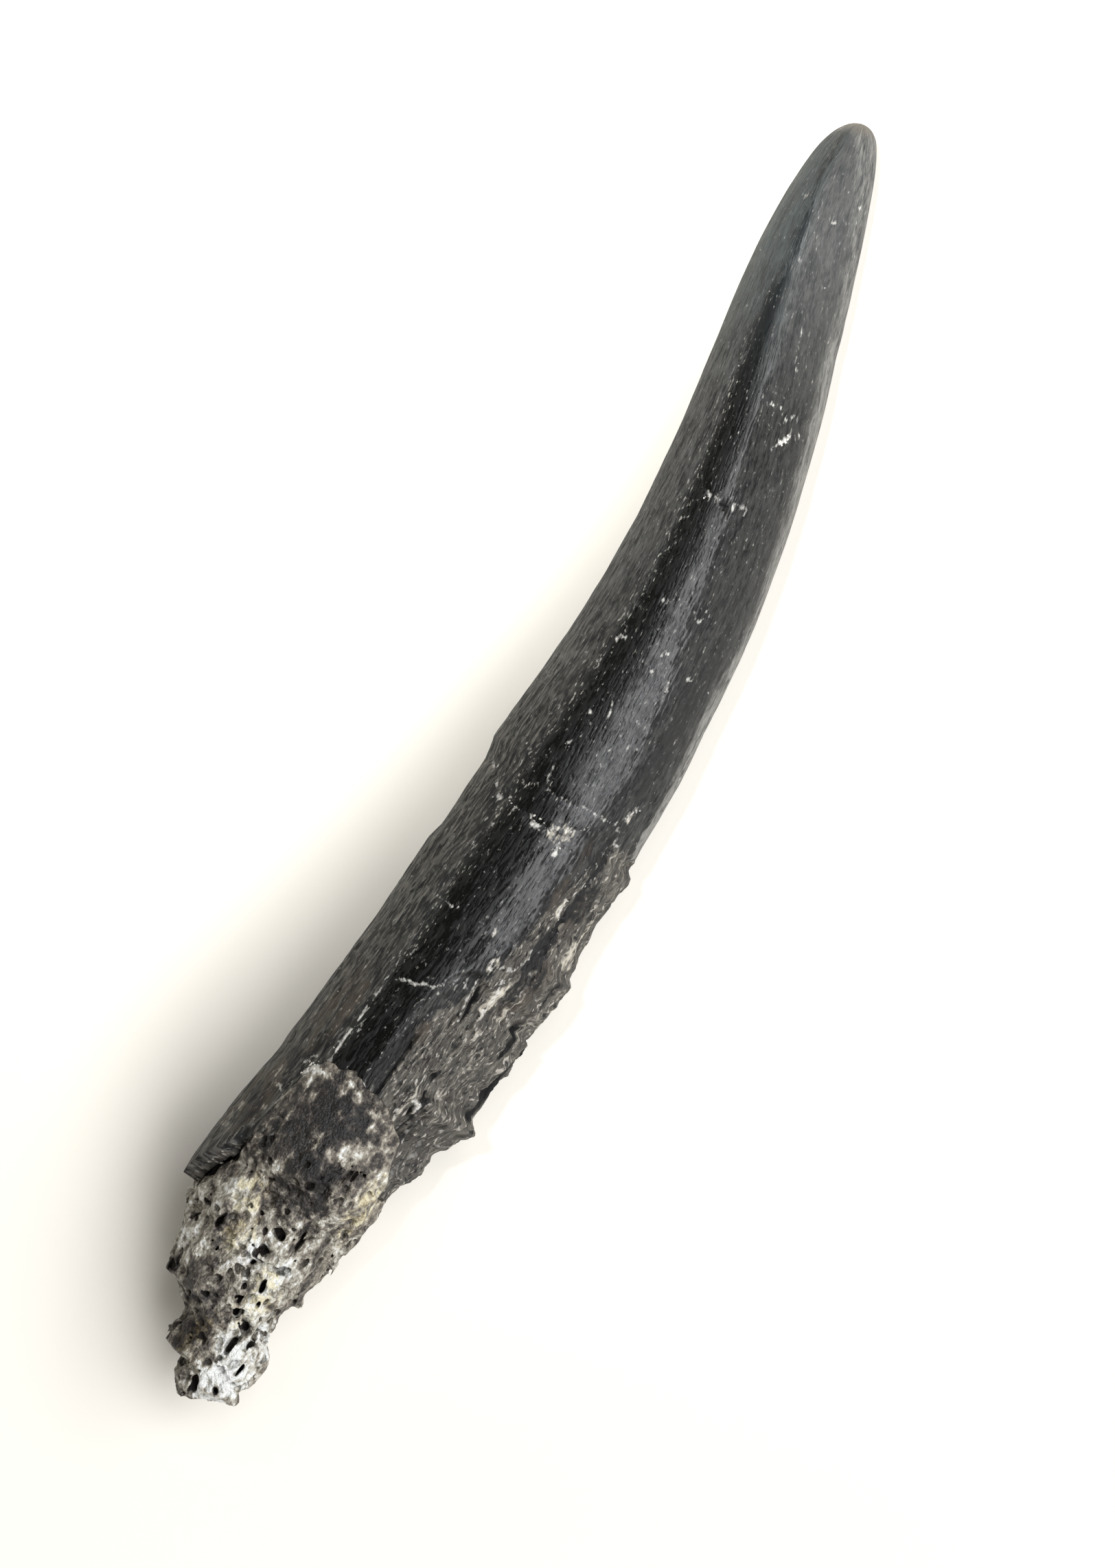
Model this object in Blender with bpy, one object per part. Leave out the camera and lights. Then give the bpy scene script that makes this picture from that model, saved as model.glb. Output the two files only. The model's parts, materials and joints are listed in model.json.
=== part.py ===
"""Fossil tooth of a Diplodocus: the black tooth, and the pale spongy bone in its broken root.

The tooth lies on its side. X runs along the chord from the root end to the tip, Y to the concave
side of the bend, and Z up. Shapes are worked out in millimetres along the bent centreline: s is the
distance from the root end, and an angle is measured round the centreline, from 0 on the concave
side over 90 degrees on top to 180 on the convex side. The origin is under the middle of the object.
"""

import math

import bmesh
import bpy
import numpy as np
from mathutils import Vector, noise

MM = 0.001
COLLECTION = "diplodocus_tooth"
SEGMENTS = 48

# Centreline, in mm: straight, one arc towards the concave side, and straight again
ROOT_HEADING = math.radians(-8.4)
TIP_HEADING = math.radians(10.4)
ROOT_OFFSET = 2.07
BEND_START = 20.1
BEND_END = 46.4

# Tooth, in mm
TIP = 52.33
HALF_WIDTH = 3.66
TAPER_START = 13.0
TAPER_SHAPE = 1.35
TIP_BLUNTNESS = 0.385
DEPTH_TO_WIDTH = 0.94
ROOF_START = 38.0
ROOF_FULL = 50.0
ROOF_CREASE = 0.3
ROOF_OFFSET = 0.35
LEAN_START = 48.0
TIP_LEAN = 0.65
REST_FLAT = 0.12
LIES_TO = 46.0
TIP_DROP = 0.11

# Broken root: where the wall ends, and its tongues that reach further down: at (degrees round),
# spread (degrees) and reach (mm)
RIM = 10.6
RIM_TONGUES = (
    (0, 80, 4.1),
    (78, 40, 0.9),
    (158, 26, 0.8),
    (245, 50, 1.0),
)
RIM_RAGGED = 0.3
RIM_BLEND_END = 18.0
WALL = 0.7
HOLLOW_END = 12.2
GAP = 0.3

# Ledges, chips and slivers of the tooth: along from, to (mm), round from, to (degrees), height (mm)
LEDGES = (
    (25.7, 26.7, -40, 60, 0.16),
    (25.7, 29.0, -40, 60, 0.10),
    (31.5, 41.5, -40, 50, -0.12),
    (21.4, 22.4, -30, 40, 0.08),
    (9.0, 11.6, -40, 45, 0.17),
    (10.8, 18.2, 96, 166, -0.26),
    (14.0, 20.6, 150, 215, 0.12),
    (14.1, 17.2, 168, 190, 0.16),
    (17.5, 18.7, 160, 186, -0.20),
    (19.3, 20.4, 168, 192, 0.16),
    (13.0, 14.0, 166, 196, 0.26),
    (6.0, 12.5, 150, 210, -0.34),
    (6.0, 11.0, 146, 215, -0.40),
    (12.1, 12.9, 60, 112, -0.22),
    (41.0, 41.6, 118, 150, -0.10),
    (24.0, 24.9, 95, 135, -0.08),
)
LEDGE_EDGE = 0.35
LEDGE_EDGE_ANGLE = 7.0
GRAIN_START = 24.0
GRAIN = 0.09

# Spongy bone: distance along, half width, offset to the concave side and half depth (mm), and its
# knobs: distance along (mm), angle (degrees), spread and height (mm)
BONE_STATIONS = (
    (0.1, 0.95, -1.55, 0.80),
    (0.4, 1.45, -1.25, 1.20),
    (1.1, 1.80, -0.80, 1.60),
    (2.3, 1.95, -0.72, 1.90),
    (3.1, 2.30, 0.05, 2.15),
    (5.0, 2.66, 0.34, 2.55),
    (6.6, 3.00, 0.42, 2.85),
    (8.5, 2.95, 0.25, 2.90),
    (11.0, 2.90, 0.15, 2.95),
)
BONE_END = 0.0
BONE_SLANT = 0.5
BONE_SLANT_TO = 3.0
BONE_DROP = 0.3
BONE_SHIFTED_TO = 4.0
BONE_SWOLLEN_FROM = 6.0
LUMP_SIZE = 1.7
LUMP = 0.28
BONE_KNOBS = (
    (4.9, 180, 0.5, 0.45),
    (1.5, 10, 0.7, 0.35),
    (0.6, 185, 0.6, 0.30),
    (5.6, 8, 0.8, 0.25),
    (7.2, 100, 0.9, 0.25),
)
CELL_SIZE = 1.2
CELL_DEPTH = 0.45
CELL_FULL = 5.0
CELL_NONE = 10.0

# Rings of vertices
TIP_RINGS = 9
CROWN_RINGS = 23
NECK_RINGS = 10
ROOT_RINGS = 14
HOLLOW_RINGS = 4
BONE_RINGS = 24
TIP_RINGS_END = 49.4
NECK_START = 26.6


def smooth(value, low, high):
    """0 below low, 1 above high, and smooth between them."""
    x = np.clip((value - low) / (high - low), 0, 1)
    return x * x * (3 - 2 * x)


def centreline(s):
    """Centre (x, y) and heading of the bent line at s."""
    radius = (BEND_END - BEND_START) / (TIP_HEADING - ROOT_HEADING)
    heading = ROOT_HEADING + (np.clip(s, BEND_START, BEND_END) - BEND_START) / radius
    before = np.minimum(s, BEND_START)
    after = np.maximum(s - BEND_END, 0)
    x = before * math.cos(ROOT_HEADING) + after * math.cos(TIP_HEADING)
    y = before * math.sin(ROOT_HEADING) + after * math.sin(TIP_HEADING)
    x += radius * (np.sin(heading) - math.sin(ROOT_HEADING))
    y += ROOT_OFFSET - radius * (np.cos(heading) - math.cos(ROOT_HEADING))
    return x, y, heading


def half_width(s):
    """Half the tooth's width: full along the root, then a long taper to a blunt tip."""
    x = np.clip((s - TAPER_START) / (TIP - TAPER_START), 0, 1)
    return HALF_WIDTH * (1 - x**TAPER_SHAPE) ** TIP_BLUNTNESS


def centre_height(s):
    """Height of the centreline when the tooth lies along its underside."""
    lying = DEPTH_TO_WIDTH * half_width(np.minimum(s, LIES_TO)) - REST_FLAT
    return lying - TIP_DROP * np.maximum(s - LIES_TO, 0)


def placed(s, side, height):
    """Points (n, 3) in mm, from distances along, to the concave side and above the centreline."""
    x, y, heading = centreline(s)
    z = np.maximum(centre_height(s) + height, 0)
    return np.stack([x - side * np.sin(heading), y + side * np.cos(heading), z], axis=-1)


def section_points(s, angle):
    """A point of a plain tube of the tooth's size for each s and angle, as input to the noises."""
    return np.stack([s, HALF_WIDTH * np.cos(angle), HALF_WIDTH * np.sin(angle)], axis=-1)


def perlin(points, size):
    """Smooth noise from -1 to 1, with bumps of about the given size in mm (along, across)."""
    scaled = points / np.array([size[0], size[1], size[1]])
    return np.array([noise.noise(Vector(p)) for p in scaled])


def cells(points, size):
    """0 at the middle of each cell of a foam, 1 on the walls between cells."""
    nearest = [noise.voronoi(Vector(p / size))[0] for p in points]
    return np.array([min(1.0, 2.2 * (far - near)) for near, far, _, _ in nearest])


def ledge(s, angle, bounds):
    """One raised or sunken patch, with steep edges."""
    start, end, low, high, height = bounds
    degrees = (np.degrees(angle) + 90) % 360 - 90
    along = smooth(s, start - LEDGE_EDGE / 2, start + LEDGE_EDGE / 2)
    along *= 1 - smooth(s, end - LEDGE_EDGE / 2, end + LEDGE_EDGE / 2)
    around = smooth(degrees, low - LEDGE_EDGE_ANGLE, low)
    around *= 1 - smooth(degrees, high, high + LEDGE_EDGE_ANGLE)
    return height * along * around


def tooth_relief(s, angle):
    """How far the tooth's surface stands out from its smooth form."""
    relief = sum(ledge(s, angle, bounds) for bounds in LEDGES)
    grain = perlin(section_points(s, angle), (5.0, 0.7))
    return relief + GRAIN * grain * (1 - smooth(s, RIM, GRAIN_START))


def tooth_ring(s, angle, inwards=0.0, scale=1.0, back=0.0):
    """A ring of the tooth's surface, or one set in by a wall, scaled in, and moved to the root."""
    roof = smooth(s, ROOF_START, ROOF_FULL)
    power = 1 + ROOF_CREASE * roof
    across = np.sign(np.cos(angle)) * np.abs(np.cos(angle)) ** power
    up = np.sign(np.sin(angle)) * np.abs(np.sin(angle)) ** power
    out = tooth_relief(s, angle) * smooth(TIP - s, 0, 1) - inwards
    side = (half_width(s) * across + out * np.cos(angle)) * scale
    height = (DEPTH_TO_WIDTH * half_width(s) * up + out * np.sin(angle)) * scale
    lean = np.maximum(s - LEAN_START, 0) / (TIP - LEAN_START)
    side += ROOF_OFFSET * roof * np.maximum(up, 0) ** 2 - TIP_LEAN * lean**1.5
    return placed(s - back, side, height)


def turned(angle, degrees):
    """How far round an angle is from a place given in degrees, in degrees from 0 to 180."""
    return np.abs((np.degrees(angle) - degrees + 180) % 360 - 180)


def rim(angle):
    """Where the broken wall ends: a few tongues, and ragged all round."""
    ragged = perlin(section_points(np.zeros_like(angle), angle), (1.0, 0.9))
    tongues = sum(
        reach * (1 - smooth(turned(angle, at), 0, spread)) for at, spread, reach in RIM_TONGUES
    )
    return RIM - tongues + RIM_RAGGED * ragged


def hollow_ring(angle, depth, gap):
    """A ring of the hollow in the root, from its mouth (depth 0) to its bottom (depth 1)."""
    mouth = rim(angle)
    s = mouth + (HOLLOW_END - mouth) * depth
    return tooth_ring(s, angle, WALL + gap, 1 - depth**2.5, gap)


def bone_ring(s, angle):
    """A ring of the spongy bone: an uneven section with lumps, and open cells towards its end."""
    station, width, offset, depth = np.transpose(BONE_STATIONS)
    points = section_points(s, angle)
    out = LUMP * perlin(points + 7.3, (LUMP_SIZE, LUMP_SIZE))
    open_cells = 1 - smooth(s, CELL_FULL, CELL_NONE)
    out -= CELL_DEPTH * open_cells * (1 - cells(points, CELL_SIZE))
    wide = np.interp(s, station, width)
    for at, degrees, spread, height in BONE_KNOBS:
        away = np.hypot(s - at, np.radians(turned(angle, degrees)) * wide)
        out += height * (1 - smooth(away, 0, spread))
    swollen = smooth(s, BONE_SHIFTED_TO, BONE_SWOLLEN_FROM)
    aside = np.interp(s, station, offset)
    out += swollen * (aside * np.cos(angle) - BONE_DROP * np.sin(angle))
    side = (wide + out) * np.cos(angle) + (1 - swollen) * aside
    height = (np.interp(s, station, depth) + out) * np.sin(angle) - (1 - swollen) * BONE_DROP
    slant = BONE_SLANT * np.cos(angle) * (1 - smooth(s, 0, BONE_SLANT_TO))
    return placed(s - slant, side, height)


def closed_piece(name, north, rings, south):
    """A UV sphere whose poles and rings are moved to the given points, so it is one closed body."""
    rows = [np.repeat([north], SEGMENTS, axis=0), *rings, np.repeat([south], SEGMENTS, axis=0)]
    grid = bmesh.new()
    bmesh.ops.create_uvsphere(grid, u_segments=SEGMENTS, v_segments=len(rows) - 1, radius=1)
    for vertex in grid.verts:
        row = round(math.acos(max(-1, min(1, vertex.co.z))) / math.pi * (len(rows) - 1))
        column = round(math.atan2(vertex.co.y, vertex.co.x) / math.tau * SEGMENTS) % SEGMENTS
        vertex.co = rows[row][column] * MM
    mesh = bpy.data.meshes.new(name)
    grid.to_mesh(mesh)
    grid.free()
    return bpy.data.objects.new(name, mesh)


def tooth(angle):
    """The black tooth, from its tip to the bottom of the hollow in its root."""
    even = np.ones_like(angle)
    tip_steps = (np.arange(1, TIP_RINGS + 1) / TIP_RINGS) ** 2
    crown = np.concatenate([
        TIP - (TIP - TIP_RINGS_END) * tip_steps,
        np.linspace(TIP_RINGS_END, NECK_START, CROWN_RINGS + 1)[1:],
        np.linspace(NECK_START, RIM_BLEND_END, NECK_RINGS + 1)[1:],
    ])
    rings = [tooth_ring(s * even, angle) for s in crown]
    for step in np.linspace(1, 0, ROOT_RINGS + 1)[1:]:
        rings.append(tooth_ring(rim(angle) + step * (RIM_BLEND_END - rim(angle)), angle))
    depths = np.linspace(0, 1, HOLLOW_RINGS + 1)[:-1]
    rings += [hollow_ring(angle, depth, 0) for depth in depths]
    tip = tooth_ring(TIP * even, angle).mean(axis=0)
    bottom = placed(np.array(HOLLOW_END), 0, 0)
    return closed_piece("tooth", tip, rings, bottom)


def root_bone(angle):
    """The spongy bone, from its nose in the hollow of the root to its broken end."""
    depths = np.linspace(1, 0, HOLLOW_RINGS + 1)[1:]
    rings = [hollow_ring(angle, depth, GAP) for depth in depths]
    top = rim(angle) - GAP
    for step in np.linspace(0, 1, BONE_RINGS):
        rings.append(bone_ring(top + step * (BONE_STATIONS[0][0] - top), angle))
    nose = placed(np.array(HOLLOW_END - GAP), 0, 0)
    end = rings[-1].mean(axis=0)
    end[0] += BONE_END - BONE_STATIONS[0][0]
    return closed_piece("root_bone", nose, rings, end)


def material(name, colour, roughness):
    """A plain shader in the piece's own colour."""
    made = bpy.data.materials.new(name)
    made.use_nodes = True
    shader = made.node_tree.nodes["Principled BSDF"]
    shader.inputs["Base Color"].default_value = (*colour, 1)
    shader.inputs["Roughness"].default_value = roughness
    shader.inputs["Metallic"].default_value = 0
    return made


def put_origin_below(pieces):
    """Moves the meshes so that the origin is under the middle of the whole object's box."""
    points = np.array([v.co for piece in pieces for v in piece.data.vertices])
    low, high = points.min(axis=0), points.max(axis=0)
    shift = Vector((-(low[0] + high[0]) / 2, -(low[1] + high[1]) / 2, -low[2]))
    for piece in pieces:
        for vertex in piece.data.vertices:
            vertex.co += shift


def main():
    for old in list(bpy.data.objects):
        bpy.data.objects.remove(old)
    angle = np.arange(SEGMENTS) * math.tau / SEGMENTS
    black = material("fossil_dentine", (0.012, 0.012, 0.013), 0.28)
    pale = material("spongy_bone", (0.50, 0.45, 0.35), 0.75)
    pieces = [tooth(angle), root_bone(angle)]
    collection = bpy.data.collections.new(COLLECTION)
    bpy.context.scene.collection.children.link(collection)
    for piece, finish in zip(pieces, (black, pale)):
        piece.data.materials.append(finish)
        piece.data.shade_smooth()
        collection.objects.link(piece)
    put_origin_below(pieces)


main()
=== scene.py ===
"""The looks of a fossil Diplodocus tooth: a black, glossy, fibrous tooth with pale spongy bone in its root.

Shapes are worked out in millimetres along the tooth's bent centreline, as in the part's source: s is the
distance from the root end, and an angle is measured round the centreline, from 0 on the concave side over
90 degrees on top to 180 on the convex side. A place on top of the tooth can also be given as (s, t), where
t is the distance to the convex side of the centreline as seen from above.
"""

import json
import math
from types import SimpleNamespace

import bmesh
import bpy
import numpy as np
import openvdb
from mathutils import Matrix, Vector, noise


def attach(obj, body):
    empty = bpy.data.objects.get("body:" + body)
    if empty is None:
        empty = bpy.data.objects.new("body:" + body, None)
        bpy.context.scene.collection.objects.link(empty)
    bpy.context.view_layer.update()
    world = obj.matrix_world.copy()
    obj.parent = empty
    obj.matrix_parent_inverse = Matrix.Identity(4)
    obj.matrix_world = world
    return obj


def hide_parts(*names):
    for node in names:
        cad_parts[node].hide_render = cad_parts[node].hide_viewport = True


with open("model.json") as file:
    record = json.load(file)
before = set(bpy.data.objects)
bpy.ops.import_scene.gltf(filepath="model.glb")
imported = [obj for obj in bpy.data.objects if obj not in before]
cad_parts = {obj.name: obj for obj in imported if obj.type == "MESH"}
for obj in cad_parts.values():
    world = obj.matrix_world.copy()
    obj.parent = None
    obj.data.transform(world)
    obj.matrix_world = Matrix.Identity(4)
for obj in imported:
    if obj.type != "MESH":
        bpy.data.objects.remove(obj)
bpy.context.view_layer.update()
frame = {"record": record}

MM = 0.001
FAR = 9.0  # a distance (mm) past all that matter
UNSEEN = 99.0  # the t of places that aren't seen from above
REST_AT = 28.0  # how far along the record's rest mount is, under the centreline

# Centreline
ROOT_HEADING = math.radians(-8.4)
TIP_HEADING = math.radians(10.4)
ROOT_OFFSET = 2.07
BEND_START = 20.1
BEND_END = 46.4

# Tooth
TIP = 52.45
HALF_WIDTH = 3.66
TAPER_START = 13.0
TAPER_SHAPE = 1.35
TIP_BLUNTNESS = 0.35
TIP_ROUNDED = 0.5
DEPTH_TO_WIDTH = 0.94
ROOF_START = 38.0
ROOF_FULL = 50.0
ROOF_CREASE = 0.3
ROOF_OFFSET = 0.35
ROOF_OFFSET_WIDTH = 1.6  # the half width under which the ridge comes back to the middle
LEAN_START = 45.0
TIP_LEAN = 0.62
LEAN_SHAPE = 1.8
REST_FLAT = 0.12
LIES_TO = 46.0
TIP_DROP = 0.11

# Broken root: where the wall ends, and its tongues: at (degrees round), spread (degrees), reach (mm)
RIM = 10.6
RIM_TONGUES = (
    (0, 80, 4.1),
    (78, 40, 0.9),
    (158, 26, 0.8),
    (245, 50, 1.0),
)
RIM_RAGGED = 0.3
RIM_CHIPS = 0.22
RIM_BLEND_END = 18.0
WALL = 0.7
HOLLOW_END = 12.2
GAP = 0.12

# Ledges and chips: along from, to (mm), round from, to (degrees), height (mm)
LEDGES = (
    (10.8, 18.2, 96, 166, -0.22),
    (41.0, 41.6, 118, 150, -0.10),
    (24.0, 24.9, 95, 135, -0.08),
)
# How far the concave and the convex side stand out from the smooth form at places along (mm). The steps
# of the convex side are the broken ends of long flakes. Most of the values at whole millimetres are as a
# measuring program printed them. They were not chosen by eye.
CONCAVE_SIDE = (
    (8.0, 0.25), (10.0, 0.15), (12.0, -0.05), (18.0, -0.07), (20.0, 0.0), (21.5, 0.07), (22.2, -0.02),
    (25.2, 0.0), (25.6, 0.06), (26.05, 0.19), (27.0, 0.14), (28.0, 0.09), (29.0, 0.0), (31.0, -0.14),
    (33.0, -0.23), (36.0, -0.33), (38.0, -0.29), (40.0, -0.26), (42.0, -0.19), (44.0, -0.14),
    (48.0, -0.1), (50.0, -0.07), (52.0, 0.0),
)
CONVEX_SIDE = (
    (9.0, -0.9), (10.3, -0.85), (10.8, -0.5), (11.2, -0.33), (12.0, -0.45), (12.3, -0.3), (12.7, -0.05),
    (13.1, 0.05), (13.4, 0.3), (13.65, 0.3), (13.85, 0.0), (14.05, -0.13), (15.0, -0.16), (16.0, 0.0),
    (17.3, 0.2), (17.42, 0.0), (18.0, 0.16), (18.9, 0.14), (19.1, 0.22), (19.9, 0.22), (20.15, 0.0),
    (21.0, -0.08), (22.5, -0.13), (23.2, -0.1), (23.8, -0.02), (24.25, -0.03), (24.4, -0.2), (26.0, -0.16),
    (28.0, -0.09), (30.0, -0.13), (32.0, -0.08), (34.0, -0.02), (37.0, -0.04), (40.0, -0.12),
    (42.0, -0.13), (44.0, -0.18), (46.0, -0.09), (48.0, -0.07), (50.0, -0.06), (51.5, -0.04),
)
LEDGE_EDGE = 0.25
LEDGE_EDGE_ANGLE = 4.0
LEDGE_WANDER = 0.35
GRAIN_START = 24.0
GRAIN = 0.09

# Spongy bone: distance along, half width, offset to the concave side and half depth (mm), and its
# knobs: distance along (mm), angle (degrees), spread and height (mm)
BONE_STATIONS = (
    (-0.35, 0.15, -0.70, 0.30),
    (0.0, 0.65, -0.80, 0.70),
    (0.3, 1.05, -1.00, 1.10),
    (0.5, 1.30, -1.30, 1.30),
    (0.86, 1.22, -1.22, 1.40),
    (0.98, 1.66, -0.74, 1.50),
    (1.5, 1.87, -0.82, 1.70),
    (2.4, 1.85, -0.85, 1.90),
    (2.65, 2.00, -0.55, 2.00),
    (3.0, 1.95, -0.25, 2.10),
    (3.15, 2.27, 0.12, 2.15),
    (4.0, 2.36, 0.28, 2.35),
    (5.0, 2.60, 0.32, 2.55),
    (6.6, 2.96, 0.42, 2.85),
    (8.5, 2.97, 0.22, 2.90),
    (11.0, 2.90, 0.15, 2.95),
)
BONE_DROP = 0.3
BONE_SHIFTED_TO = 4.0
BONE_SWOLLEN_FROM = 6.0
LUMP_SIZE = 1.7
LUMP = 0.16
BONE_KNOBS = (
    (4.85, 180, 0.4, 0.28),
    (5.6, 8, 0.8, 0.2),
    (7.2, 100, 0.9, 0.2),
)

# Cells of the spongy bone (mm)
BONE_BOX = ((-0.8, -3.4, -3.6), (13.6, 4.3, 4.1))  # corners (s, side, height) of the space it is meshed in
BONE_END = 11.3
BONE_PLAY = 0.25  # how far it stays from the inside of the wall
OUTLINE_ROWS = 190
OUTLINE_COLUMNS = 220
CELLS_TO = 1.2  # how deep the cells reach
CELL_SPACING = 0.46
STRUT = 0.05
CRUMB = 0.05
SUNK = 0.13  # how far filled cells lie below the struts between them
# Collar of filled bone just below the broken wall, and where the bone is out of sight in the hollow
BONE_COLLAR = 0.4
COLLAR_START = 7.9
COLLAR_FULL = 9.4
HIDDEN_FROM = 10.3
# Dark crumbly matter that covers the broken wall's upper edge: its height above the wall, and where it
# ends along for places t across
CRUST = 0.07
CRUST_START = 7.4
CRUST_FULL = 9.2
CRUST_RAGGED = 2.2
CRUST_LOWEST = 1.5
CRUST_ENDS = (
    (-2.75, 5.0), (-2.6, 9.6), (-2.3, 11.9), (-1.9, 12.3), (-1.2, 12.2), (-0.3, 12.3), (0.3, 12.1),
    (0.8, 11.8), (1.3, 11.3), (1.9, 10.8), (2.4, 10.0), (2.6, 5.0),
)
# Its large cells seen from above: their depth, and s, t, half length, half width
LARGE_CELL_DEPTH = 0.6
LARGE_CELLS = (
    (3.1, 1.2, 0.20, 0.17),
    (2.3, 1.1, 0.35, 0.13),
    (2.6, 1.6, 0.25, 0.10),
    (1.7, 1.9, 0.30, 0.08),
    (2.3, 2.4, 0.22, 0.13),
    (0.45, 0.8, 0.5, 0.15),
    (0.65, 1.6, 0.15, 0.10),
    (3.45, 0.6, 0.16, 0.12),
    (3.4, -2.3, 0.28, 0.16),
    (4.35, 0.4, 0.16, 0.10),
    (4.8, 0.9, 0.25, 0.11),
    (4.2, 1.15, 0.18, 0.08),
    (5.85, 0.2, 0.15, 0.22),
    (6.62, 0.35, 0.20, 0.20),
    (6.9, 0.95, 0.45, 0.07),
    (5.8, -1.75, 0.40, 0.10),
)

# Edges t of the polished band on top, at places along: its concave and its convex edge
BAND = (
    (12.6, -1.85, -0.3), (16.8, -1.85, -0.3), (18.6, -1.85, 0.7), (20.0, -1.85, 1.1), (24.5, -1.9, 1.2),
    (27.0, -1.8, 1.4), (30.0, -1.6, 1.3), (33.0, -1.4, 0.7), (36.0, -1.25, 0.5), (38.0, -1.2, 0.3),
    (40.0, -1.2, 0.1), (43.0, -1.2, 0.0), (44.5, -1.1, -0.2), (45.6, -0.95, -0.33), (46.2, -0.62, -0.3),
    (48.0, -0.45, -0.25), (49.5, -0.4, -0.3), (50.5, -0.4, -0.25), (51.3, -0.1, 0.0),
)
# Width of the pale strip along the convex side's outline, a painted reflection of the bright surroundings
EDGE_REFLECTION_WIDTH = ((20.0, 0.2), (34.0, 0.24), (38.0, 0.4), (41.0, 0.48), (49.0, 0.5))
# Concave edge of the patch where the outer layer has come off the root
BARE = ((12.0, 0.25), (16.5, 0.25), (17.6, 0.8), (19.0, 1.2), (21.0, 1.6), (23.0, 1.9), (24.6, 2.3))
BARE_END = 24.8
BARE_TO = 206.0  # degrees round
BARE_END_RAGGED = 4.0
BARE_END_TURN = (165, 190)  # degrees round over which its end gets ragged

# Pale and dark patches seen from above: s, t, half length, half width, and from -1 dark to 1 pale
TONES = (
    (17.9, 1.78, 1.0, 0.17, 0.65), (18.0, 0.35, 0.4, 0.3, 0.1), (18.0, 2.5, 0.9, 0.14, 0.5),
    (16.6, 2.05, 0.4, 0.1, 0.5), (15.8, 2.5, 0.8, 0.35, 0.3), (13.1, 1.42, 1.3, 0.1, 0.5),
    (20.1, 0.38, 0.3, 0.1, 0.4), (21.0, 3.1, 0.5, 0.15, 0.5), (26.2, 2.25, 0.45, 0.15, 0.5),
    (22.1, 2.02, 0.5, 0.12, 0.8), (14.0, 2.7, 1.6, 0.6, 0.2), (18.8, 3.4, 1.6, 0.16, 0.25),
    (11.5, -3.1, 0.3, 0.12, 0.35), (19.0, 1.0, 0.35, 0.2, 0.4), (24.3, 0.3, 0.5, 0.5, 0.4),
    (23.4, -1.95, 0.6, 0.12, 0.2), (14.5, -2.9, 1.8, 0.6, 0.1),
    (24.6, 2.2, 1.0, 0.1, -0.9), (22.6, 2.3, 1.4, 0.08, -0.9), (14.2, -0.05, 1.5, 0.28, -0.7),
    (13.0, 1.95, 1.1, 0.12, -0.9), (17.5, 1.24, 0.8, 0.07, -0.9), (19.5, 2.3, 1.5, 0.3, -0.5),
    (24.2, 2.2, 1.2, 0.2, -0.7), (22.5, 2.6, 1.2, 0.3, -0.5), (14.5, 1.8, 0.6, 0.12, -0.6),
    (12.0, 2.3, 0.9, 0.12, -0.6), (14.6, 0.9, 1.6, 0.4, -0.2), (20.8, 2.1, 1.0, 0.3, -0.4),
    (30.0, 2.1, 4.0, 0.4, -0.5), (27.6, 2.2, 1.2, 0.3, -0.5), (21.5, 1.4, 1.5, 0.2, -0.3),
    (8.9, -3.45, 0.35, 0.15, 0.4), (9.6, -3.4, 0.2, 0.12, 0.45), (11.0, -2.85, 0.15, 0.25, 0.35),
    (8.4, -2.7, 0.4, 0.12, 0.5), (10.1, -2.75, 0.15, 0.1, 0.4),
    (9.9, -3.1, 0.8, 0.25, -0.5), (10.5, -3.35, 0.5, 0.12, -0.6), (12.2, -3.0, 0.5, 0.2, -0.5),
    (21.0, 3.25, 1.4, 0.12, 0.6),
)
BROWN_SPOTS = (
    (22.2, 1.55, 1.2, 0.25),
    (22.0, 2.55, 0.9, 0.3),
    (19.2, 2.5, 1.4, 0.35),
    (15.5, 0.25, 0.5, 0.25),
    (24.0, 1.6, 1.0, 0.2),
    (14.6, -2.8, 1.8, 0.5),
    (10.5, -3.2, 1.6, 0.5),
)

# Grooves and slots: a bent line through (s, t), half width and depth
GROOVES = (
    (((41.3, 0.2), (41.5, 0.7), (41.3, 1.3)), 0.10, 0.03),
    (((37.5, -0.6), (37.6, 0.2), (37.8, 1.0)), 0.12, 0.05),
    (((33.6, -0.5), (33.5, 0.5), (33.5, 1.5)), 0.10, 0.03),
    (((25.3, -0.95), (25.5, 0.3), (25.6, 1.3), (25.5, 2.2)), 0.11, 0.04),
    (((25.4, -3.2), (24.3, -2.0), (24.2, -0.5), (24.4, 0.5), (24.9, 1.2)), 0.18, 0.08),
    (((25.0, 2.35), (23.5, 2.3), (21.8, 2.2)), 0.20, 0.12),
    (((19.85, -2.15), (20.0, -1.2)), 0.1, 0.03),
    (((16.7, -1.65), (16.9, -1.0), (17.4, -0.1)), 0.12, 0.05),
    (((15.3, 0.2), (12.8, 0.22)), 0.12, 0.12),
    (((28.3, 1.75), (26.4, 1.7)), 0.10, 0.04),
    (((37.5, 0.9), (33.0, 0.85)), 0.10, 0.03),
)
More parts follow.
